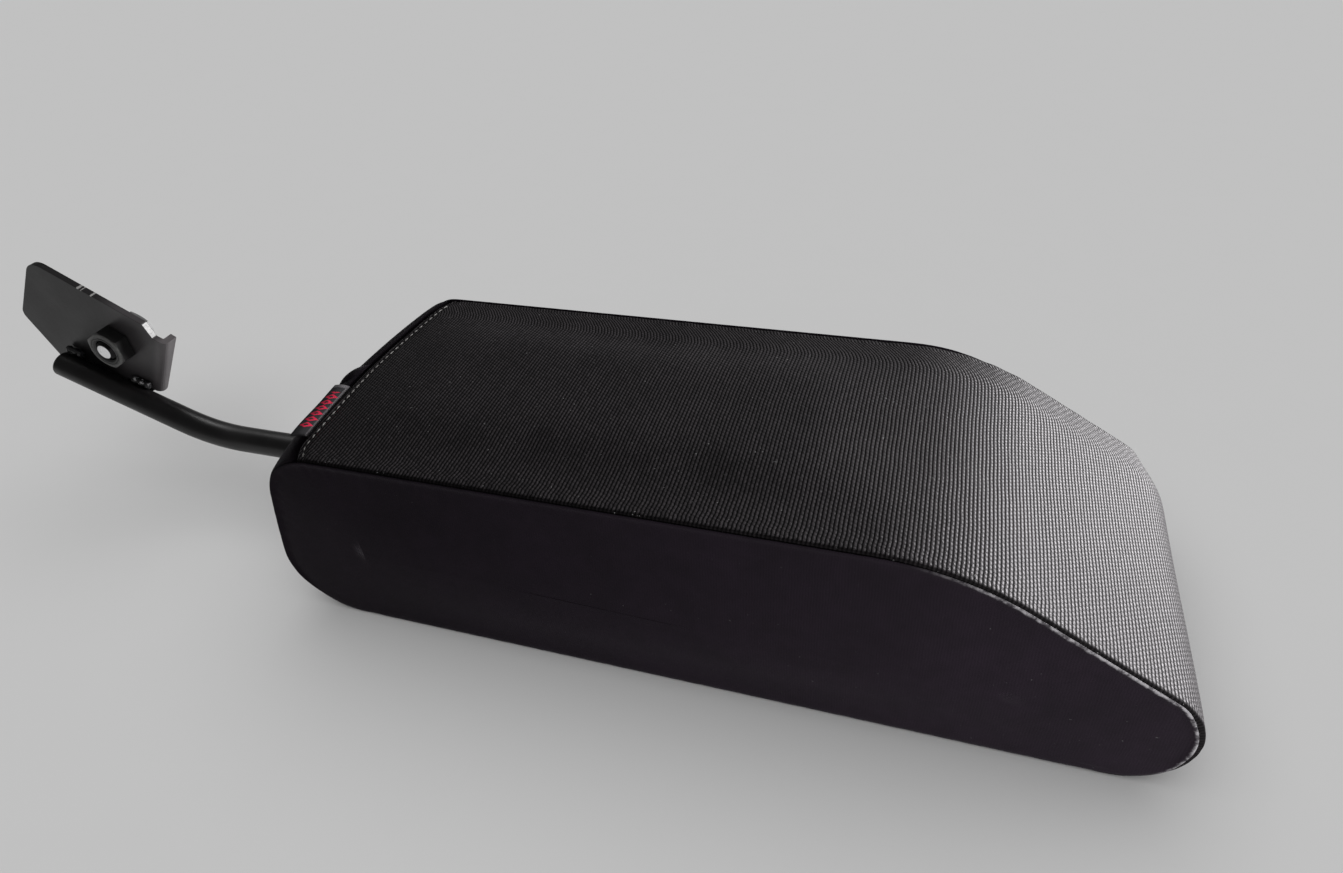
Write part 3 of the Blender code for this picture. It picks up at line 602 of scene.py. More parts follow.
def label_material():
    """Woven tape: grey ground, a light selvedge and a row of red lozenges.

    'weave' holds the length along the tape and the length across it.
    """
    n = Nodes("woven_label")
    along, across, _ = n.parts(n.attribute("weave"))
    cloth = n.add(n.mul(n.wave(across, 0.0005), n.wave(along, 0.0005), 0.5), 0.5)
    ground = n.mix(cloth, (0.012, 0.0115, 0.0125), (0.032, 0.031, 0.034))
    selvedge = n.fall(across, 0.0006, 0.0011)
    end = n.ramp(along, TAB_LENGTH - 0.0022, TAB_LENGTH - 0.0014)
    ground = n.mix(n.mul(n.math("MAXIMUM", selvedge, end), 0.6), ground, (0.17, 0.16, 0.17))
    step = n.sub(n.math("FRACT", n.div(along, LOZENGE_PITCH)), 0.5)
    over = n.math("ABSOLUTE", n.mul(step, 2.0))
    rise = n.math("ABSOLUTE", n.div(n.sub(across, 0.0028), 0.0025))
    ring = n.math("ABSOLUTE", n.sub(n.add(over, rise), 0.62))
    mark = n.mul(n.fall(ring, 0.19, 0.3), n.ramp(along, 0.0036, 0.004),
                 n.fall(along, 0.0264, 0.0268), n.ramp(cloth, 0.0, 0.5, 0.75, 1.0))
    return n.surface(
        Base_Color=n.mix(mark, ground, (0.52, 0.018, 0.055)),
        Roughness=n.ramp(cloth, 0.0, 1.0, 0.85, 0.6), Specular_IOR_Level=0.15,
        Normal=n.bump(cloth, 0.5, 0.0002))


def floor_material():
    n = Nodes("studio_floor")
    speck = n.noise(40.0, 3.0, 0.6)
    return n.surface(
        Base_Color=n.mix(speck, grey(0.6), grey(0.608)), Specular_IOR_Level=0.0,
        Roughness=n.ease(speck, 0.85, 0.95))


RIBBED = ribbed_fabric()
PLAIN = plain_fabric()
FOAM = foam_material()


# ---- The pad's outline

def corner_arc(before, corner, after, radius):
    """Points of the arc that rounds a corner between two others."""
    corner = np.asarray(corner, float)
    back = np.asarray(before, float) - corner
    on = np.asarray(after, float) - corner
    back /= np.linalg.norm(back)
    on /= np.linalg.norm(on)
    half = math.acos(float(np.clip(back @ on, -1, 1))) / 2
    centre = corner + (back + on) / np.linalg.norm(back + on) * radius / math.sin(half)
    first = corner + back * radius / math.tan(half) - centre
    sweep = math.pi - 2 * half
    if back[0] * on[1] - back[1] * on[0] > 0:
        sweep = -sweep
    turn = sweep * np.linspace(0, 1, 24)
    return together(
        centre[0] + first[0] * np.cos(turn) - first[1] * np.sin(turn),
        centre[1] + first[0] * np.sin(turn) + first[1] * np.cos(turn))


def pad_outline(y, inset):
    """The pad's outline in X and Z at y: a fine polyline, anticlockwise from the middle of the underside."""
    side = abs(y) / PAD_HALF
    swollen = NOSE_SWELL * float(smoothstep(-0.02, 0.05, -y))
    trimmed = NOSE_FAR_TRIM * float(smoothstep(0.04, PAD_HALF, y)) ** 1.5
    nose = NOSE_X + swollen - trimmed - inset
    rear = REAR_X - REAR_SWELL[0] - REAR_SWELL[1] * (1 - side ** 2) + inset * 1.02
    top = PAD_HEIGHT - inset
    slope_x = SLOPE_START_X - inset * 0.28
    slope_end_z = top - (nose - slope_x) * math.tan(SLOPE_ANGLE)
    rear_top_x = rear + (top - inset) * math.tan(REAR_LEAN) + REAR_TOP_IN * max(0.0, -y / PAD_HALF) ** 4
    rear_top_radius = REAR_TOP_RADIUS[0] + (REAR_TOP_RADIUS[1] - REAR_TOP_RADIUS[0]) * side ** 2
    corners = [
        ((rear, inset), REAR_BOTTOM_RADIUS - inset * 0.8),
        ((nose, inset), NOSE_RADIUS - inset * 0.8),
        ((nose, slope_end_z), NOSE_RADIUS - inset * 0.8),
        ((slope_x, top), SLOPE_RADIUS),
        ((rear_top_x, top), rear_top_radius - inset * 0.5),
    ]
    arcs = [corner_arc(corners[index - 1][0], corner, corners[(index + 1) % 5][0], radius)
            for index, (corner, radius) in enumerate(corners)]
    middle = np.array([[MIDDLE_X, inset]])
    rear_line = arcs[4][-1] + (arcs[0][0] - arcs[4][-1]) * np.linspace(0, 1, 12)[1:-1, None]
    points = np.concatenate([middle, *arcs[1:], rear_line, arcs[0], middle])
    height = np.clip(points[:, 1] / PAD_HEIGHT, 0, 1)
    points[:, 0] -= REAR_ROUND * smoothstep(-0.045, -0.068, points[:, 0]) * np.sin(math.pi * height)
    return points


class Outline:
    """Points, outward normals and lengths along the outline at one y."""

    def __init__(self, y, inset=0.0):
        self.points = pad_outline(y, inset)
        steps = np.linalg.norm(np.diff(self.points, axis=0), axis=1)
        self.lengths = np.concatenate([[0.0], np.cumsum(steps)])
        self.total = self.lengths[-1]

    def at(self, s):
        s = np.mod(s, self.total)
        return together(*(np.interp(s, self.lengths, values) for values in self.points.T))

    def normal(self, s):
        step = 0.0012
        along = self.at(s + step) - self.at(s - step)
        along /= np.linalg.norm(along, axis=-1, keepdims=True)
        return together(along[..., 1], -along[..., 0])

    def where_x(self, x, top):
        """The length along the outline at x, on its upper or its lower side."""
        xs, zs = self.points.T
        if top:
            upper = zs > 0.055
            return float(np.interp(-x, -xs[upper], self.lengths[upper]))
        first_half = self.lengths < self.total / 2
        lower = (zs < 0.004) & (first_half if x > xs[0] else ~first_half)
        return float(np.interp(x, xs[lower], self.lengths[lower]))


OUTLINES = {}


def outline_at(y):
    key = round(float(y), 6)
    if key not in OUTLINES:
        OUTLINES[key] = Outline(y)
    return OUTLINES[key]


def surface_point(y, s, out=0.0):
    x, z = outline_at(y).at(s) + outline_at(y).normal(s) * out
    return Vector((x, y, z))


def stitch_line(y):
    """The top-stitch bows to the rear at mid-width, and its ends turn a little towards the nose."""
    side = abs(y) / PAD_HALF
    return STITCH_BACK + STITCH_BOW * side ** 1.5 + STITCH_HOOK * float(smoothstep(0.8, 1.0, side)) ** 2


def nose_seam(y):
    return outline_at(y).where_x(NOSE_SEAM_X, False)


def rear_seam(y):
    return outline_at(y).where_x(stitch_line(y) - SEAM_BEHIND_STITCH, True)


def heel_seam(y):
    return outline_at(y).where_x(HEEL_SEAM_X, False)


# ---- The simulated fill

def pad_block():
    """A closed block in the pad's shape, a little smaller on every side."""
    ys = np.linspace(FILL_INSET - PAD_HALF, PAD_HALF - FILL_INSET, 19)
    rows = []
    for y in ys:
        outline = Outline(y, FILL_INSET)
        rows.append(in_space(outline.at(np.linspace(0, outline.total, 161)[:-1]), y))
    block = mesh_object("pad_fill", np.concatenate(rows), tube_faces(len(rows), len(rows[0])), FOAM)
    turn_faces(block)
    return block


def as_modified(thing):
    """The mesh that an object's modifiers make."""
    depsgraph = bpy.context.evaluated_depsgraph_get()
    return bpy.data.meshes.new_from_object(thing.evaluated_get(depsgraph))


def blow_up(fill):
    """Let pressure blow the fill up as cloth, and keep what it makes, capped. Its underside is held."""
    rest = np.array([vertex.co for vertex in fill.data.vertices])
    held = fill.vertex_groups.new(name="floor")
    held.add([index for index, point in enumerate(rest) if point[2] < FILL_INSET + 0.002], 1.0, "REPLACE")
    cloth = fill.modifiers.new("Cloth", "CLOTH")
    cloth.settings.use_pressure = True
    cloth.settings.uniform_pressure_force = PRESSURE
    cloth.settings.vertex_group_mass = "floor"
    cloth.settings.quality = 6
    cloth.settings.tension_stiffness = 40
    cloth.settings.compression_stiffness = 40
    cloth.settings.bending_stiffness = 4
    cloth.settings.effector_weights.gravity = 0
    cloth.collision_settings.use_collision = False
    cloth.point_cache.frame_start = 1
    cloth.point_cache.frame_end = LAST_FRAME
    for step in range(1, LAST_FRAME + 1):
        bpy.context.scene.frame_set(step)
    fill.data = as_modified(fill)
    fill.modifiers.clear()
    moved = np.array([vertex.co for vertex in fill.data.vertices]) - rest
    reach = np.linalg.norm(moved, axis=1, keepdims=True)
    moved *= np.minimum(1.0, SWELL_CAP / np.maximum(reach, 1e-9))
    for vertex, point in zip(fill.data.vertices, rest + moved):
        vertex.co = point
    bpy.context.scene.frame_set(1)


def swollen_fill():
    """The stuffed shape: a slightly small block, remeshed and blown up."""
    fill = pad_block()
    remesh = fill.modifiers.new("Remesh", "REMESH")
    remesh.mode = "VOXEL"
    remesh.voxel_size = FILL_VOXEL
    fill.data = as_modified(fill)
    fill.modifiers.clear()
    blow_up(fill)
    fill.data.shade_smooth()
    fill.data.materials.clear()
    fill.data.materials.append(FOAM)
    return fill


def tree_of(mesh):
    shape = bmesh.new()
    shape.from_mesh(mesh)
    tree = BVHTree.FromBMesh(shape)
    shape.free()
    return tree


FILL = swollen_fill()
FILL_TREE = tree_of(FILL.data)


def swell(points, normals):
    """How far the fill pushes the cover out at each point: the depth from the cover to the blown-up fill."""
    out = np.zeros(points.shape[:-1])
    for index in np.ndindex(out.shape):
        normal = Vector(normals[index]).normalized()
        hit, _, _, distance = FILL_TREE.ray_cast(Vector(points[index]) + normal * RAY_START, -normal, 0.05)
        out[index] = 0.0 if hit is None else FILL_INSET + RAY_START - distance
    return np.clip(out, 0.0, SWELL_CAP)


def smoothed(field):
    """A grid of values, evened out so that the fill's own facets don't show."""
    for _ in range(6):
        wide = np.pad(field, 1, mode="edge")
        field = (wide[:-2, 1:-1] + wide[2:, 1:-1] + wide[1:-1, :-2] + wide[1:-1, 2:] + 2 * field) / 6
    return field


# ---- Cover panels

# The strip's edge, from its flat part down into the groove: (distance in from the side, depth)
STRIP_EDGE = MM * np.array([
    (3.0, 0.0), (1.8, 0.0), (1.35, 0.03), (1.02, 0.1), (0.8, 0.24), (0.65, 0.48), (0.55, 0.86),
    (0.48, 1.35), (0.43, 2.2)])
# The side panel's edge next to the strip, a small ridge: (depth in the outline's plane, distance out)
PANEL_RIDGE = MM * np.array([
    (2.6, -1.1), (1.9, -0.78), (1.35, -0.5), (0.92, -0.24), (0.72, 0.02), (0.78, 0.25), (1.15, 0.38),
    (1.7, 0.32), (2.35, 0.12), (3.1, -0.06), (4.2, -0.1), (6.0, 0.0), (8.5, 0.15), (12.0, 0.3)])
# The same edge where the panel turns under: no ridge, only a soft corner
PANEL_TURN = MM * np.array([
    (1.6, -3.4), (1.0, -2.8), (0.62, -2.25), (0.4, -1.75), (0.36, -1.3), (0.5, -0.92), (0.85, -0.6),
    (1.35, -0.38), (2.0, -0.22), (2.9, -0.1), (4.2, -0.02), (6.0, 0.04), (8.5, 0.15), (12.0, 0.3)])
EDGE_Y = PAD_HALF - STRIP_EDGE[:, 0]
EDGE_DIP = STRIP_EDGE[:, 1]
# The first rows at a panel's ends, close together where it goes down into its seam
STRIP_FINE = MM * np.array([0.0, 0.35, 0.8, 1.3, 1.9, 2.7, 3.6, 4.8, 6.4])
REAR_FINE = MM * np.array([0.0, 0.5, 1.1, 1.8, 2.8, 4.0])
NEAR_SLIT = MM * np.array([0.15, 0.6, 1.2, 2.0, 3.0, 4.5])


def edge_pull(s, seed):
    """How much the seam's thread draws the cloth in along it: a smooth, uneven wave, mostly from 0 to 1."""
    rng = np.random.default_rng(seed)
    total = np.zeros_like(s)
    for _ in range(PULL_WAVES):
        turns = s / (PULL_PITCH * rng.uniform(0.6, 1.7))
        total += np.sin(2 * math.pi * turns + rng.uniform(0, 2 * math.pi))
    return 0.5 + 0.75 * total / PULL_WAVES


def seam(depth, reach, power):
    """How deep the cloth goes down into a seam that runs across the pad, at a distance from it."""
    return lambda distance: depth * np.clip(1 - distance / reach, 0, 1) ** power


SEWN_SEAM = seam(0.0019, 0.003, 3)
DEEP_SEAM = seam(0.00228, 0.003, 3)
SOFT_SEAM = seam(0.0012, 0.004, 2)


def stitch_groove(distance):
    """The strip dips a little under its top-stitch, and then goes down into the seam."""
    return 0.00055 * np.exp(-((distance - SEAM_BEHIND_STITCH) / 0.0011) ** 2) + SEWN_SEAM(distance)


def cover_panel(name, points, material, merge=0.0, round_rows=False, **attributes):
    """A panel from a grid of points, with an attribute or two on each point."""
    faces = grid_faces(*points.shape[:2], round_rows=round_rows)
    flat = {key: values.reshape(-1, 3) for key, values in attributes.items()}
    panel = mesh_object(name, points.reshape(-1, 3), faces, material, **flat)
    turn_faces(panel, merge, from_pad=True)
    subdivide(panel)
    return panel


def panel_surface(ys, dips, lines, seams, fine, rows, seeds, gain, side_reach, end_reach):
    """Lengths, points and normals of a panel between two lines across the pad, row after row.

    The panel goes down into the seam at each line, and by the given dips along its sides, where the
    thread pulls at it. It swells with the fill, fully from the end of each reach inwards.
    """
    starts, ends = np.array([[line(y) for line in lines] for y in ys]).T
    rows = rows or int((ends - starts).max() / PANEL_STEP) + 1
    middle = starts + fine[-1] + (ends - starts - 2 * fine[-1]) * np.linspace(0, 1, rows)[:, None]
    s = np.concatenate([starts + fine[:-1, None], middle, (ends - fine[:-1, None])[::-1]])
    points = in_space(np.stack([outline_at(y).at(column) for y, column in zip(ys, s.T)], axis=1), ys)
    normals = in_space(np.stack([outline_at(y).normal(column) for y, column in zip(ys, s.T)], axis=1), 0.0)
    inside = PAD_HALF - np.abs(ys)
    pull = np.where(ys < 0, edge_pull(s, seeds[0]), edge_pull(s, seeds[1])) * SEAM_PULL
    depth = dips + (1 - smoothstep(*PULL_REACH, inside)) * pull + seams[0](s - starts) + seams[1](ends - s)
    mask = smoothstep(0, end_reach, s - starts) * smoothstep(0, end_reach, ends - s)
    push = smoothed(swell(points, normals)) * smoothstep(*side_reach, inside) * mask * gain
    points += normals * (push - depth)[..., None]
    return s, points, normals


def band(name, lines, seams, material, seeds, gain):
    """A cover panel over the whole width, between two lines across the pad."""
    inner = np.linspace(-EDGE_Y[0], EDGE_Y[0], 27)[1:-1]
    ys = np.concatenate([-EDGE_Y[::-1], inner, EDGE_Y])
    dips = np.concatenate([EDGE_DIP[::-1], np.zeros(len(inner)), EDGE_DIP])
    s, points, _ = panel_surface(ys, dips, lines, seams, STRIP_FINE, None, seeds, gain, (0.001, 0.016), 0.01)
    return cover_panel(name, points, material, weave=together(s, ys + 0.2, PAD_HALF - np.abs(ys)))


def open_for_rod(points, normals):
    """The rear panel is drawn open round the rod, and gathered there in small folds."""
    y = points[..., 1]
    z = points[..., 2] - ROD_Z
    radius = np.hypot(y, z)
    hole = ROD_RADIUS + 0.0003
    near = (points[..., 0] < GATHER_FROM_X) & (radius < GATHER_REACH)
    share = np.where(near, radius / GATHER_REACH, 1.0)
    scale = np.where(near, (hole + (GATHER_REACH - hole) * share) / np.maximum(radius, 1e-5), 1.0)
    angle = np.arctan2(z, y)
    folds = np.sin(angle * 14 + 0.7 * np.sin(angle * 3))
    lip = (1 - share) ** 1.5 * (0.0022 + 0.0004 * folds) - 0.003 * (1 - share) ** 6
    return together(points[..., 0], y * scale, ROD_Z + z * scale) + normals * lip[..., None]


def rear_band(name, sign):
    """One half of the rear panel, from the top seam to the heel, hemmed at the slit in the middle."""
    inner = np.linspace(NEAR_SLIT[-1], EDGE_Y[0], 22)[1:-1]
    ys = np.concatenate([NEAR_SLIT, inner, EDGE_Y]) * sign
    dips = np.concatenate([np.zeros(len(NEAR_SLIT) + len(inner)), EDGE_DIP])
    s, points, normals = panel_surface(ys, dips, (rear_seam, heel_seam), (DEEP_SEAM, SOFT_SEAM), REAR_FINE,
                                       60, (21, 21), REAR_GAIN, (0.002, 0.02), 0.012)
    hem = np.clip(1 - points[..., 1] * sign / HEM_WIDTH, 0, 1)
    points = open_for_rod(points - normals * (HEM_DEPTH * hem ** 2)[..., None], normals)
    return cover_panel(name, points, PLAIN, weave=together(ys + 0.5, s, 0.0))


def side_panel(name, sign, seed):
    """A side panel: a small ridge along its seams, then cloth over the fill's side. The far sign is 1."""
    outline = outline_at(sign * PAD_HALF)
    s = np.linspace(0, outline.total, 401)[:-1]
    rim = outline.at(s)
    outward = outline.normal(s)
    along = SPINE[1] - SPINE[0]
    t = np.clip(((rim - SPINE[0]) @ along) / (along @ along), 0, 1)
    inward = SPINE[0] + t[:, None] * along - rim
    distance = np.linalg.norm(inward, axis=1)[:, None]
    inward /= distance
    turned = smoothstep(-0.35, -0.9, outward[:, 1])[:, None]
    set_in = NOSE_SET_IN * smoothstep(0.6, 0.95, outward[:, :1]) * (1 - turned)
    lift = np.zeros_like(turned)
    # Painted highlight on the ridge's fluff: only where the near side's rim faces the nose and the key lamp,
    # not where it turns under, and none on the far side
    painted_light_share = smoothstep(0.1, 0.5, outward[:, :1]) * (1 - turned)
    if sign > 0:
        lift = (FAR_LIFT * smoothstep(0.9, 0.995, outward[:, 1:])
                - FAR_DROP * smoothstep(0.1, 0.4, outward[:, :1]))
        painted_light_share = np.zeros_like(painted_light_share)
    edge = PANEL_RIDGE[:, 0] * (1 - turned) + PANEL_TURN[:, 0] * turned + set_in - lift
    out = PANEL_RIDGE[:, 1] * (1 - turned) + PANEL_TURN[:, 1] * turned
    near = np.exp(-((edge - 0.0032) / 0.0026) ** 2) * (1 - turned)
    out = out - near * edge_pull(s, seed)[:, None] * RIDGE_PULL
    last = PANEL_RIDGE[-1, 0]
    inner = last + (distance - last) * np.array([0.16, 0.32, 0.48, 0.64, 0.8, 1.0])
    depth = np.concatenate([edge, inner], axis=1)
    out = np.concatenate([out, np.full_like(inner, PANEL_RIDGE[-1, 1])], axis=1)
    direction = np.where((depth < 0.0045)[..., None], -outward[:, None], inward[:, None])
    xz = rim[:, None] + direction * depth[..., None]
    points = in_space(xz, sign * (PAD_HALF + out))
    normals = np.zeros_like(points)
    normals[..., 1] = sign
    push = swell(points, normals)
    for _ in range(6):
        wrapped = np.concatenate([push[-1:], push, push[:1]], axis=0)
        push = (wrapped[:-2] + wrapped[2:] + 2 * push) / 4
        wide = np.pad(push, ((0, 0), (1, 1)), mode="edge")
        push = (wide[:, :-2] + wide[:, 2:] + 2 * push) / 4
    points[..., 1] += sign * push * smoothstep(0.002, 0.022, depth) * SIDE_GAIN
    weave = together(xz[..., 0] + 0.5, xz[..., 1] + 0.5, np.concatenate([edge - set_in, inner], axis=1))
    fuzz = together(painted_light_share, 0.0, np.zeros_like(depth))
    return cover_panel(name, points, PLAIN, merge=0.0002, round_rows=True, weave=weave, fuzz=fuzz)


# ---- Trim

def stitch_places(cover):
    """Points on the cover along the top-stitch, each with the outline's normal there."""
    depsgraph = bpy.context.evaluated_depsgraph_get()
    tree = BVHTree.FromObject(cover.evaluated_get(depsgraph), depsgraph)
    places = []
    end = PAD_HALF - STITCH_FROM_SIDE
    for y in np.linspace(-end, end, 500):
        s = outline_at(y).where_x(stitch_line(y), True)
        normal = Vector(in_space(outline_at(y).normal(s), 0.0))
        hit = tree.ray_cast(surface_point(y, s) + normal * RAY_START, -normal, 0.03)[0]
        if hit is not None:
            places.append((hit, normal))
    return places


def top_stitches(cover):
    """A row of separate stitches of thick thread, lying on the strip in front of the rear seam."""
    places = stitch_places(cover)
    points = [hit for hit, _ in places]
    run = [0.0]
    for a, b in zip(points, points[1:]):
        run.append(run[-1] + (b - a).length)

    def at(length):
        index = int(np.clip(np.searchsorted(run, length), 1, len(run) - 1))
        part = (length - run[index - 1]) / max(run[index] - run[index - 1], 1e-9)
        return points[index - 1].lerp(points[index], part), places[index][1]

    rng = np.random.default_rng(5)
    verts = []
    faces = []
    length = 0.0006
    while length + STITCH_PITCH < run[-1]:
        stitch = STITCH_PITCH * rng.uniform(0.8, 0.86)
        lean = rng.uniform(-0.00012, 0.00012)
        first = len(verts)
        for ring in range(STITCH_RINGS + 1):
            t = ring / STITCH_RINGS
            centre, normal = at(length + stitch * t)
            before, _ = at(length + stitch * max(t - 0.1, 0))
            after, _ = at(length + stitch * min(t + 0.1, 1))
            forward = (after - before).normalized()
            sideways = forward.cross(normal).normalized()
            up = sideways.cross(forward).normalized()
            arch = math.sin(math.pi * t)
            radius = THREAD_RADIUS * (0.6 + 0.4 * arch)
            centre = centre + up * (0.00022 * arch - 0.00025) + sideways * lean * (2 * t - 1)
            verts += ring_points(centre, sideways, up, radius, STITCH_SIDES)
        faces += tube_faces(STITCH_RINGS + 1, STITCH_SIDES, first)
        length += STITCH_PITCH
    stitches = mesh_object("top_stitching", verts, faces, thread_material())
    turn_faces(stitches)
    return stitches


def closing_flap():
    """A padded tongue over the top of the rear slit, held in the top seam."""
    def place(t, w):
        w = 2 * w - 1
        half = FLAP_HALF * (1 - 0.56 * max(0.0, (t - 0.82) / 0.18) ** 2)
        tip = math.sqrt(max(0.0, 1 - max(0.0, (t - 0.9) / 0.1) ** 2))
        root = min(1.0, 0.15 + t / 0.16)
        y = FLAP_CENTRE_Y + w * half
        s = rear_seam(y) + 0.0008 + FLAP_LENGTH * t
        edge = (1 - abs(w) ** 2.4) ** 0.7
        crease = 0.0003 * math.sin(t * 21 + w * 2)
        outer = surface_point(y, s, -0.0006 + (FLAP_PUFF * tip * root + crease) * edge)
        return outer, surface_point(y, s, -0.0008), (y + 0.5, s, 0.0)

    flap = two_sided("closing_flap", 34, 15, place, PLAIN)
    subdivide(flap)
    return flap


def woven_tab():
    """A folded tape that comes out of the rear seam and lies back over the pad's rear edge."""
    def place(t, w):
        root_y = TAB_CENTRE_Y + (w - 0.5) * TAB_LENGTH
        root = surface_point(root_y, rear_seam(root_y) - 0.0002)
        rise = TAB_RISE * math.sin(0.5 * math.pi * min(1.0, t * 1.6)) + 0.0002 * math.sin(w * 7 + 0.5) * t
        middle = root + Vector((-TAB_DEPTH * t, -TAB_SKEW * t, rise - 0.0012))
        rounding = math.sqrt(1 - (max(0.0, t - 0.93) / 0.07) ** 2)
        thick = Vector((0, 0, TAB_HALF_THICKNESS * rounding))
        return middle + thick, middle - thick, (w * TAB_LENGTH, t * TAB_DEPTH, 0.0)

    return two_sided("woven_tab", 13, 31, place, label_material(), merge=0.000005)


# ---- Metal

def rod_line():
    """The rod's centre line, finely, from its front end in the pad to its rear end on the bracket."""
    front = Vector((ROD_FRONT_X, 0.0, ROD_Z))
    bend = Vector((ROD_BEND_X, 0.0, ROD_Z))
    points = [front.lerp(bend, step / 20) for step in range(20)]
    for step in range(41):
        angle = ROD_ANGLE * step / 40
        points.append(bend + ROD_BEND_RADIUS * Vector((-math.sin(angle), 0.0, 1 - math.cos(angle))))
    start = points[-1]
    run = start.x - ROD_REAR_X
    rear = start + Vector((-run, 0.0, run * math.tan(ROD_ANGLE)))
    return points + [start.lerp(rear, step / 12) for step in range(1, 13)]


def painted_rod():
    """A smooth round rod with softly rounded ends."""
    line = rod_line()
    last = len(line) - 1
    ends = {0: ROD_FRONT_END, last: ROD_REAR_END}
    sideways = Vector((0.0, 1.0, 0.0))
    points = []
    for index, centre in enumerate(line):
        along = (line[min(index + 1, last)] - line[max(index - 1, 0)]).normalized()
        for shift, share in ends.get(index, ((0.0, 1.0),)):
            up = sideways.cross(along)
            points += ring_points(centre + along * shift, sideways, up, ROD_RADIUS * share, ROD_SIDES)
    faces = grid_faces(len(points) // ROD_SIDES, ROD_SIDES, round_columns=True)
    rod = mesh_object("painted_rod", points, faces, black_paint())
    turn_faces(rod, merge=0.000002)
    rod.data.set_sharp_from_angle(angle=math.radians(50))
    return rod


def painted_nut():
    """A hexagon nut with a chamfered face, a turned ring and a countersunk bore."""
    chamfer_start = NUT_FLAT * 0.955
    face = NUT_LOW_Y
    turned = [(NUT_BORE, NUT_HIGH_Y), (NUT_BORE, face + NUT_COUNTERSINK), (NUT_BORE + NUT_COUNTERSINK, face),
              (0.00655, face), (0.00675, face + 0.00032), (0.007, face + 0.00032), (0.00718, face),
              (chamfer_start - 0.0001, face), (chamfer_start, face + 0.00004)]
    sixth = math.radians(60)
    points = []
    for side in range(NUT_SIDES):
        angle = 2 * math.pi * side / NUT_SIDES
        corner = NUT_FLAT / math.cos((angle + sixth / 2) % sixth - sixth / 2)
        drop = (corner - chamfer_start) * 0.43
        profile = turned + [(corner - 0.00012, face + drop - 0.00003), (corner, face + drop + 0.00012),
                            (corner, NUT_HIGH_Y - 0.0003), (corner - 0.0003, NUT_HIGH_Y)]
        for radius, y in profile:
            points.append(PIVOT + Vector((math.cos(angle) * radius, y, math.sin(angle) * radius)))
    faces = grid_faces(NUT_SIDES, len(profile), round_rows=True, round_columns=True)
    nut = mesh_object("painted_nut", points, faces, nut_paint())
    turn_faces(nut)
    nut.data.set_sharp_from_angle(angle=math.radians(24))
    return nut


# ---- Pieces of the frame

def base_start(y):
    """The base panel starts at the heel seam, which is a whole outline before the rear panel's end."""
    return heel_seam(y) - outline_at(y).total


def build_pad():
    strip = band("ribbed_cover_strip", (nose_seam, rear_seam), (SOFT_SEAM, stitch_groove), RIBBED, (3, 4),
                 STRIP_GAIN)
    near = side_panel("side_cover_near", -1, 11)
    far = side_panel("side_cover_far", 1, 12)
    base = band("base_cover", (base_start, nose_seam), (SOFT_SEAM, SOFT_SEAM), PLAIN, (6, 7), 0.0)
    rear_near = rear_band("rear_cover_near", -1)
    rear_far = rear_band("rear_cover_far", 1)
    flap = closing_flap()
    tab = woven_tab()
    stitches = top_stitches(strip)
    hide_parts("cover_top")
    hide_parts("cover_side_near")
    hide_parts("cover_side_far")
    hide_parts("cover_underside")
    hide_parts("cover_rear_near")
    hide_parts("cover_rear_far")
    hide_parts("closure_flap")
    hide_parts("label_tab")
    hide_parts("foam_upper", "foam_lower")
    slots = {"ribbed_fabric": (strip, stitches), "plain_fabric": (near, far, base, rear_near, rear_far, flap),
             "woven_label": (tab,), "foam": (FILL,)}
    for slot, pieces in slots.items():
        for piece in pieces:
            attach(piece, "arm")


def build_metal():
    """Smooth stand-ins for the rod and the nut, and materials on the CAD's own pieces."""
    for piece, cad_name in ((painted_rod(), "arm_rod"), (painted_nut(), "weld_nut")):
        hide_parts(cad_name)
        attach(piece, "arm")
    zinc = bright_metal("bright_zinc", (0.86, 0.86, 0.87), 0.22, turned=True)
    steel = bright_metal("plain_steel", (0.3, 0.3, 0.31), 0.45)
    looks = (
        (black_paint(chipped=True), "bracket_plate"),
        (weld_paint(), "rod_weld_front", "rod_weld_rear"),
        (zinc, "pivot_bolt", "spring_washer", "flat_washer"),
        (steel, "mount_strip", "strip_weld_near", "strip_weld_far"),
        (steel, "core_screw_1", "core_screw_2", "core_screw_3", "core_screw_4"),
        (plywood(), "core_board"),
    )
    for look, *names in looks:
        for name in names:
            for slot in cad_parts[name].material_slots:
                slot.material = look


# ---- Studio

def make_floor():
    bpy.ops.mesh.primitive_grid_add(x_subdivisions=8, y_subdivisions=8, size=12, location=(0, 0, -0.0002))
    floor = bpy.context.object
    floor.name = "studio_floor"
    floor.data.materials.append(floor_material())
    return floor


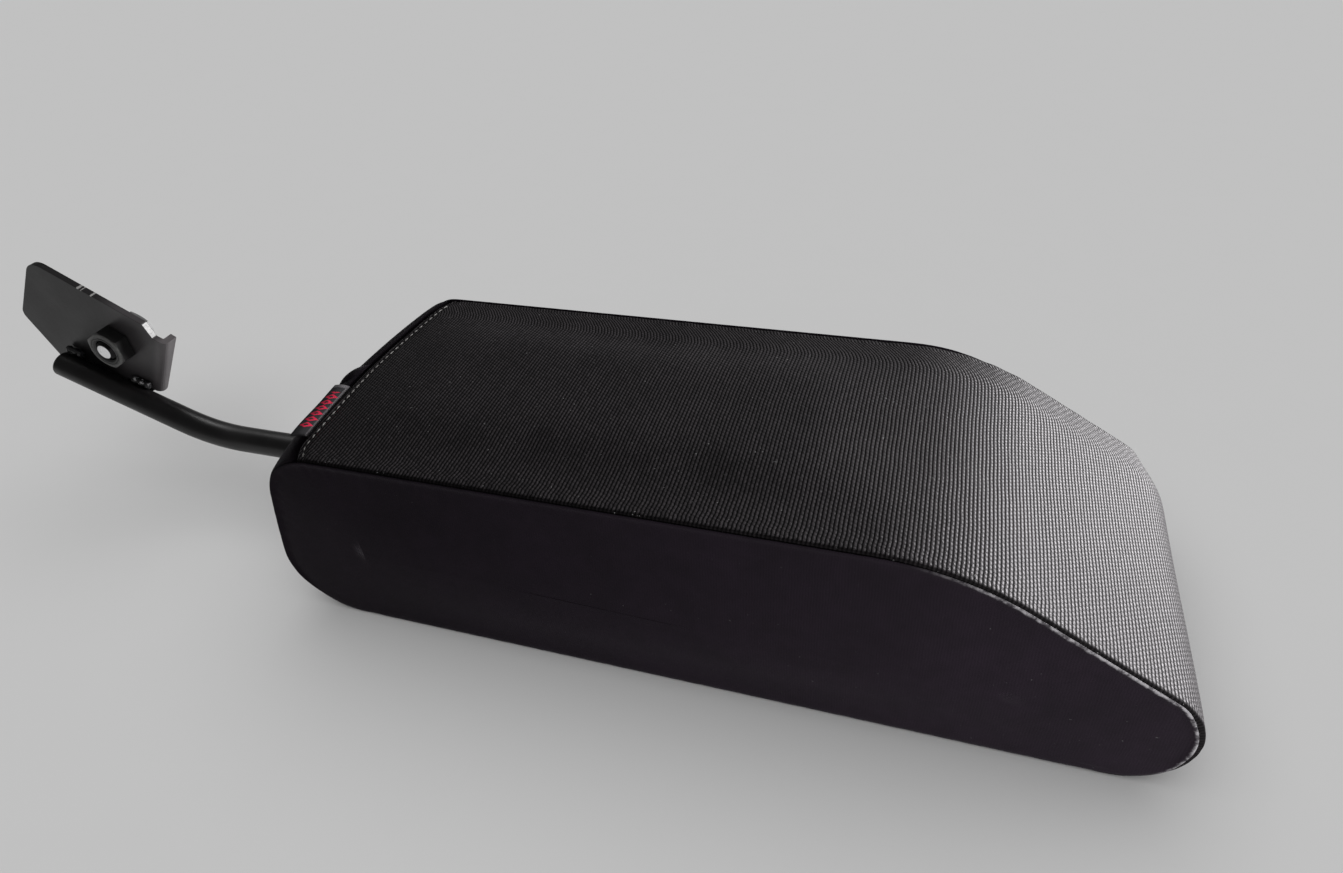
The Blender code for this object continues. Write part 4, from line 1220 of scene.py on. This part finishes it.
def lamp(name, kind, place, aim, power, lights_only, size=None):
    """A lamp aimed at a point, which lights only some of the objects."""
    light = bpy.data.lights.new(name, kind)
    light.energy = power
    if size is not None:
        light.shape = "RECTANGLE"
        light.size, light.size_y = size
    thing = new_object(name, light)
    thing.location = place
    thing.rotation_euler = (Vector(aim) - Vector(place)).to_track_quat("-Z", "Y").to_euler()
    group = bpy.data.collections.new(name + "_receivers")
    for receiver in lights_only:
        group.objects.link(receiver)
    thing.light_linking.receiver_collection = group
    return light


def make_lights(floor):
    """An even pale room, a sun for the floor, and for the armrest a low broad lamp beyond the nose.

    Two weak lamps light the rod's top and the side near the nose.
    """
    world = bpy.data.worlds.new("studio")
    bpy.context.scene.world = world
    world.use_nodes = True
    background = world.node_tree.nodes["Background"]
    background.inputs["Color"].default_value = (1.0, 1.0, 1.0, 1.0)
    background.inputs["Strength"].default_value = WORLD_LEVEL
    armrest = [thing for thing in bpy.context.scene.objects if thing.type == "MESH" and thing is not floor]
    rod = [bpy.data.objects["painted_rod"]]
    towards = Vector((math.cos(KEY_ELEVATION) * math.cos(KEY_AZIMUTH),
                      math.cos(KEY_ELEVATION) * math.sin(KEY_AZIMUTH), math.sin(KEY_ELEVATION)))
    lamp("key_low", "AREA", KEY_AIM + towards * KEY_DISTANCE, KEY_AIM, KEY_POWER, armrest, (1.1, 0.35))
    sun = lamp("floor_even", "SUN", (0.0, 0.0, 2.0), (0.0, 0.0, 0.0), FLOOR_SUN, [floor])
    sun.angle = FLOOR_SUN_ANGLE
    lamp("rod_top", "AREA", (-0.37, 0.23, 0.59), (-0.17, 0.0, 0.05), ROD_TOP_POWER, rod, (0.25, 0.25))
    fill = lamp("nose_fill", "AREA", (0.43, -0.42, 0.14), (0.235, -0.059, 0.03), NOSE_FILL_POWER, armrest,
                (0.3, 0.15))
    fill.spread = NOSE_FILL_SPREAD


def make_camera():
    lens = bpy.data.cameras.new("camera")
    lens.sensor_fit = "HORIZONTAL"
    lens.sensor_width = 36.0
    lens.lens = CAMERA_LENS
    lens.clip_start = 0.01
    camera = new_object("camera", lens)
    turn = Matrix((CAMERA_RIGHT, CAMERA_UP, -CAMERA_FORWARD)).transposed()
    camera.matrix_world = Matrix.Translation(CAMERA_PLACE) @ turn.to_4x4()
    bpy.context.scene.camera = camera


build_pad()
build_metal()
make_lights(make_floor())
make_camera()
bpy.context.scene.view_settings.view_transform = "Standard"
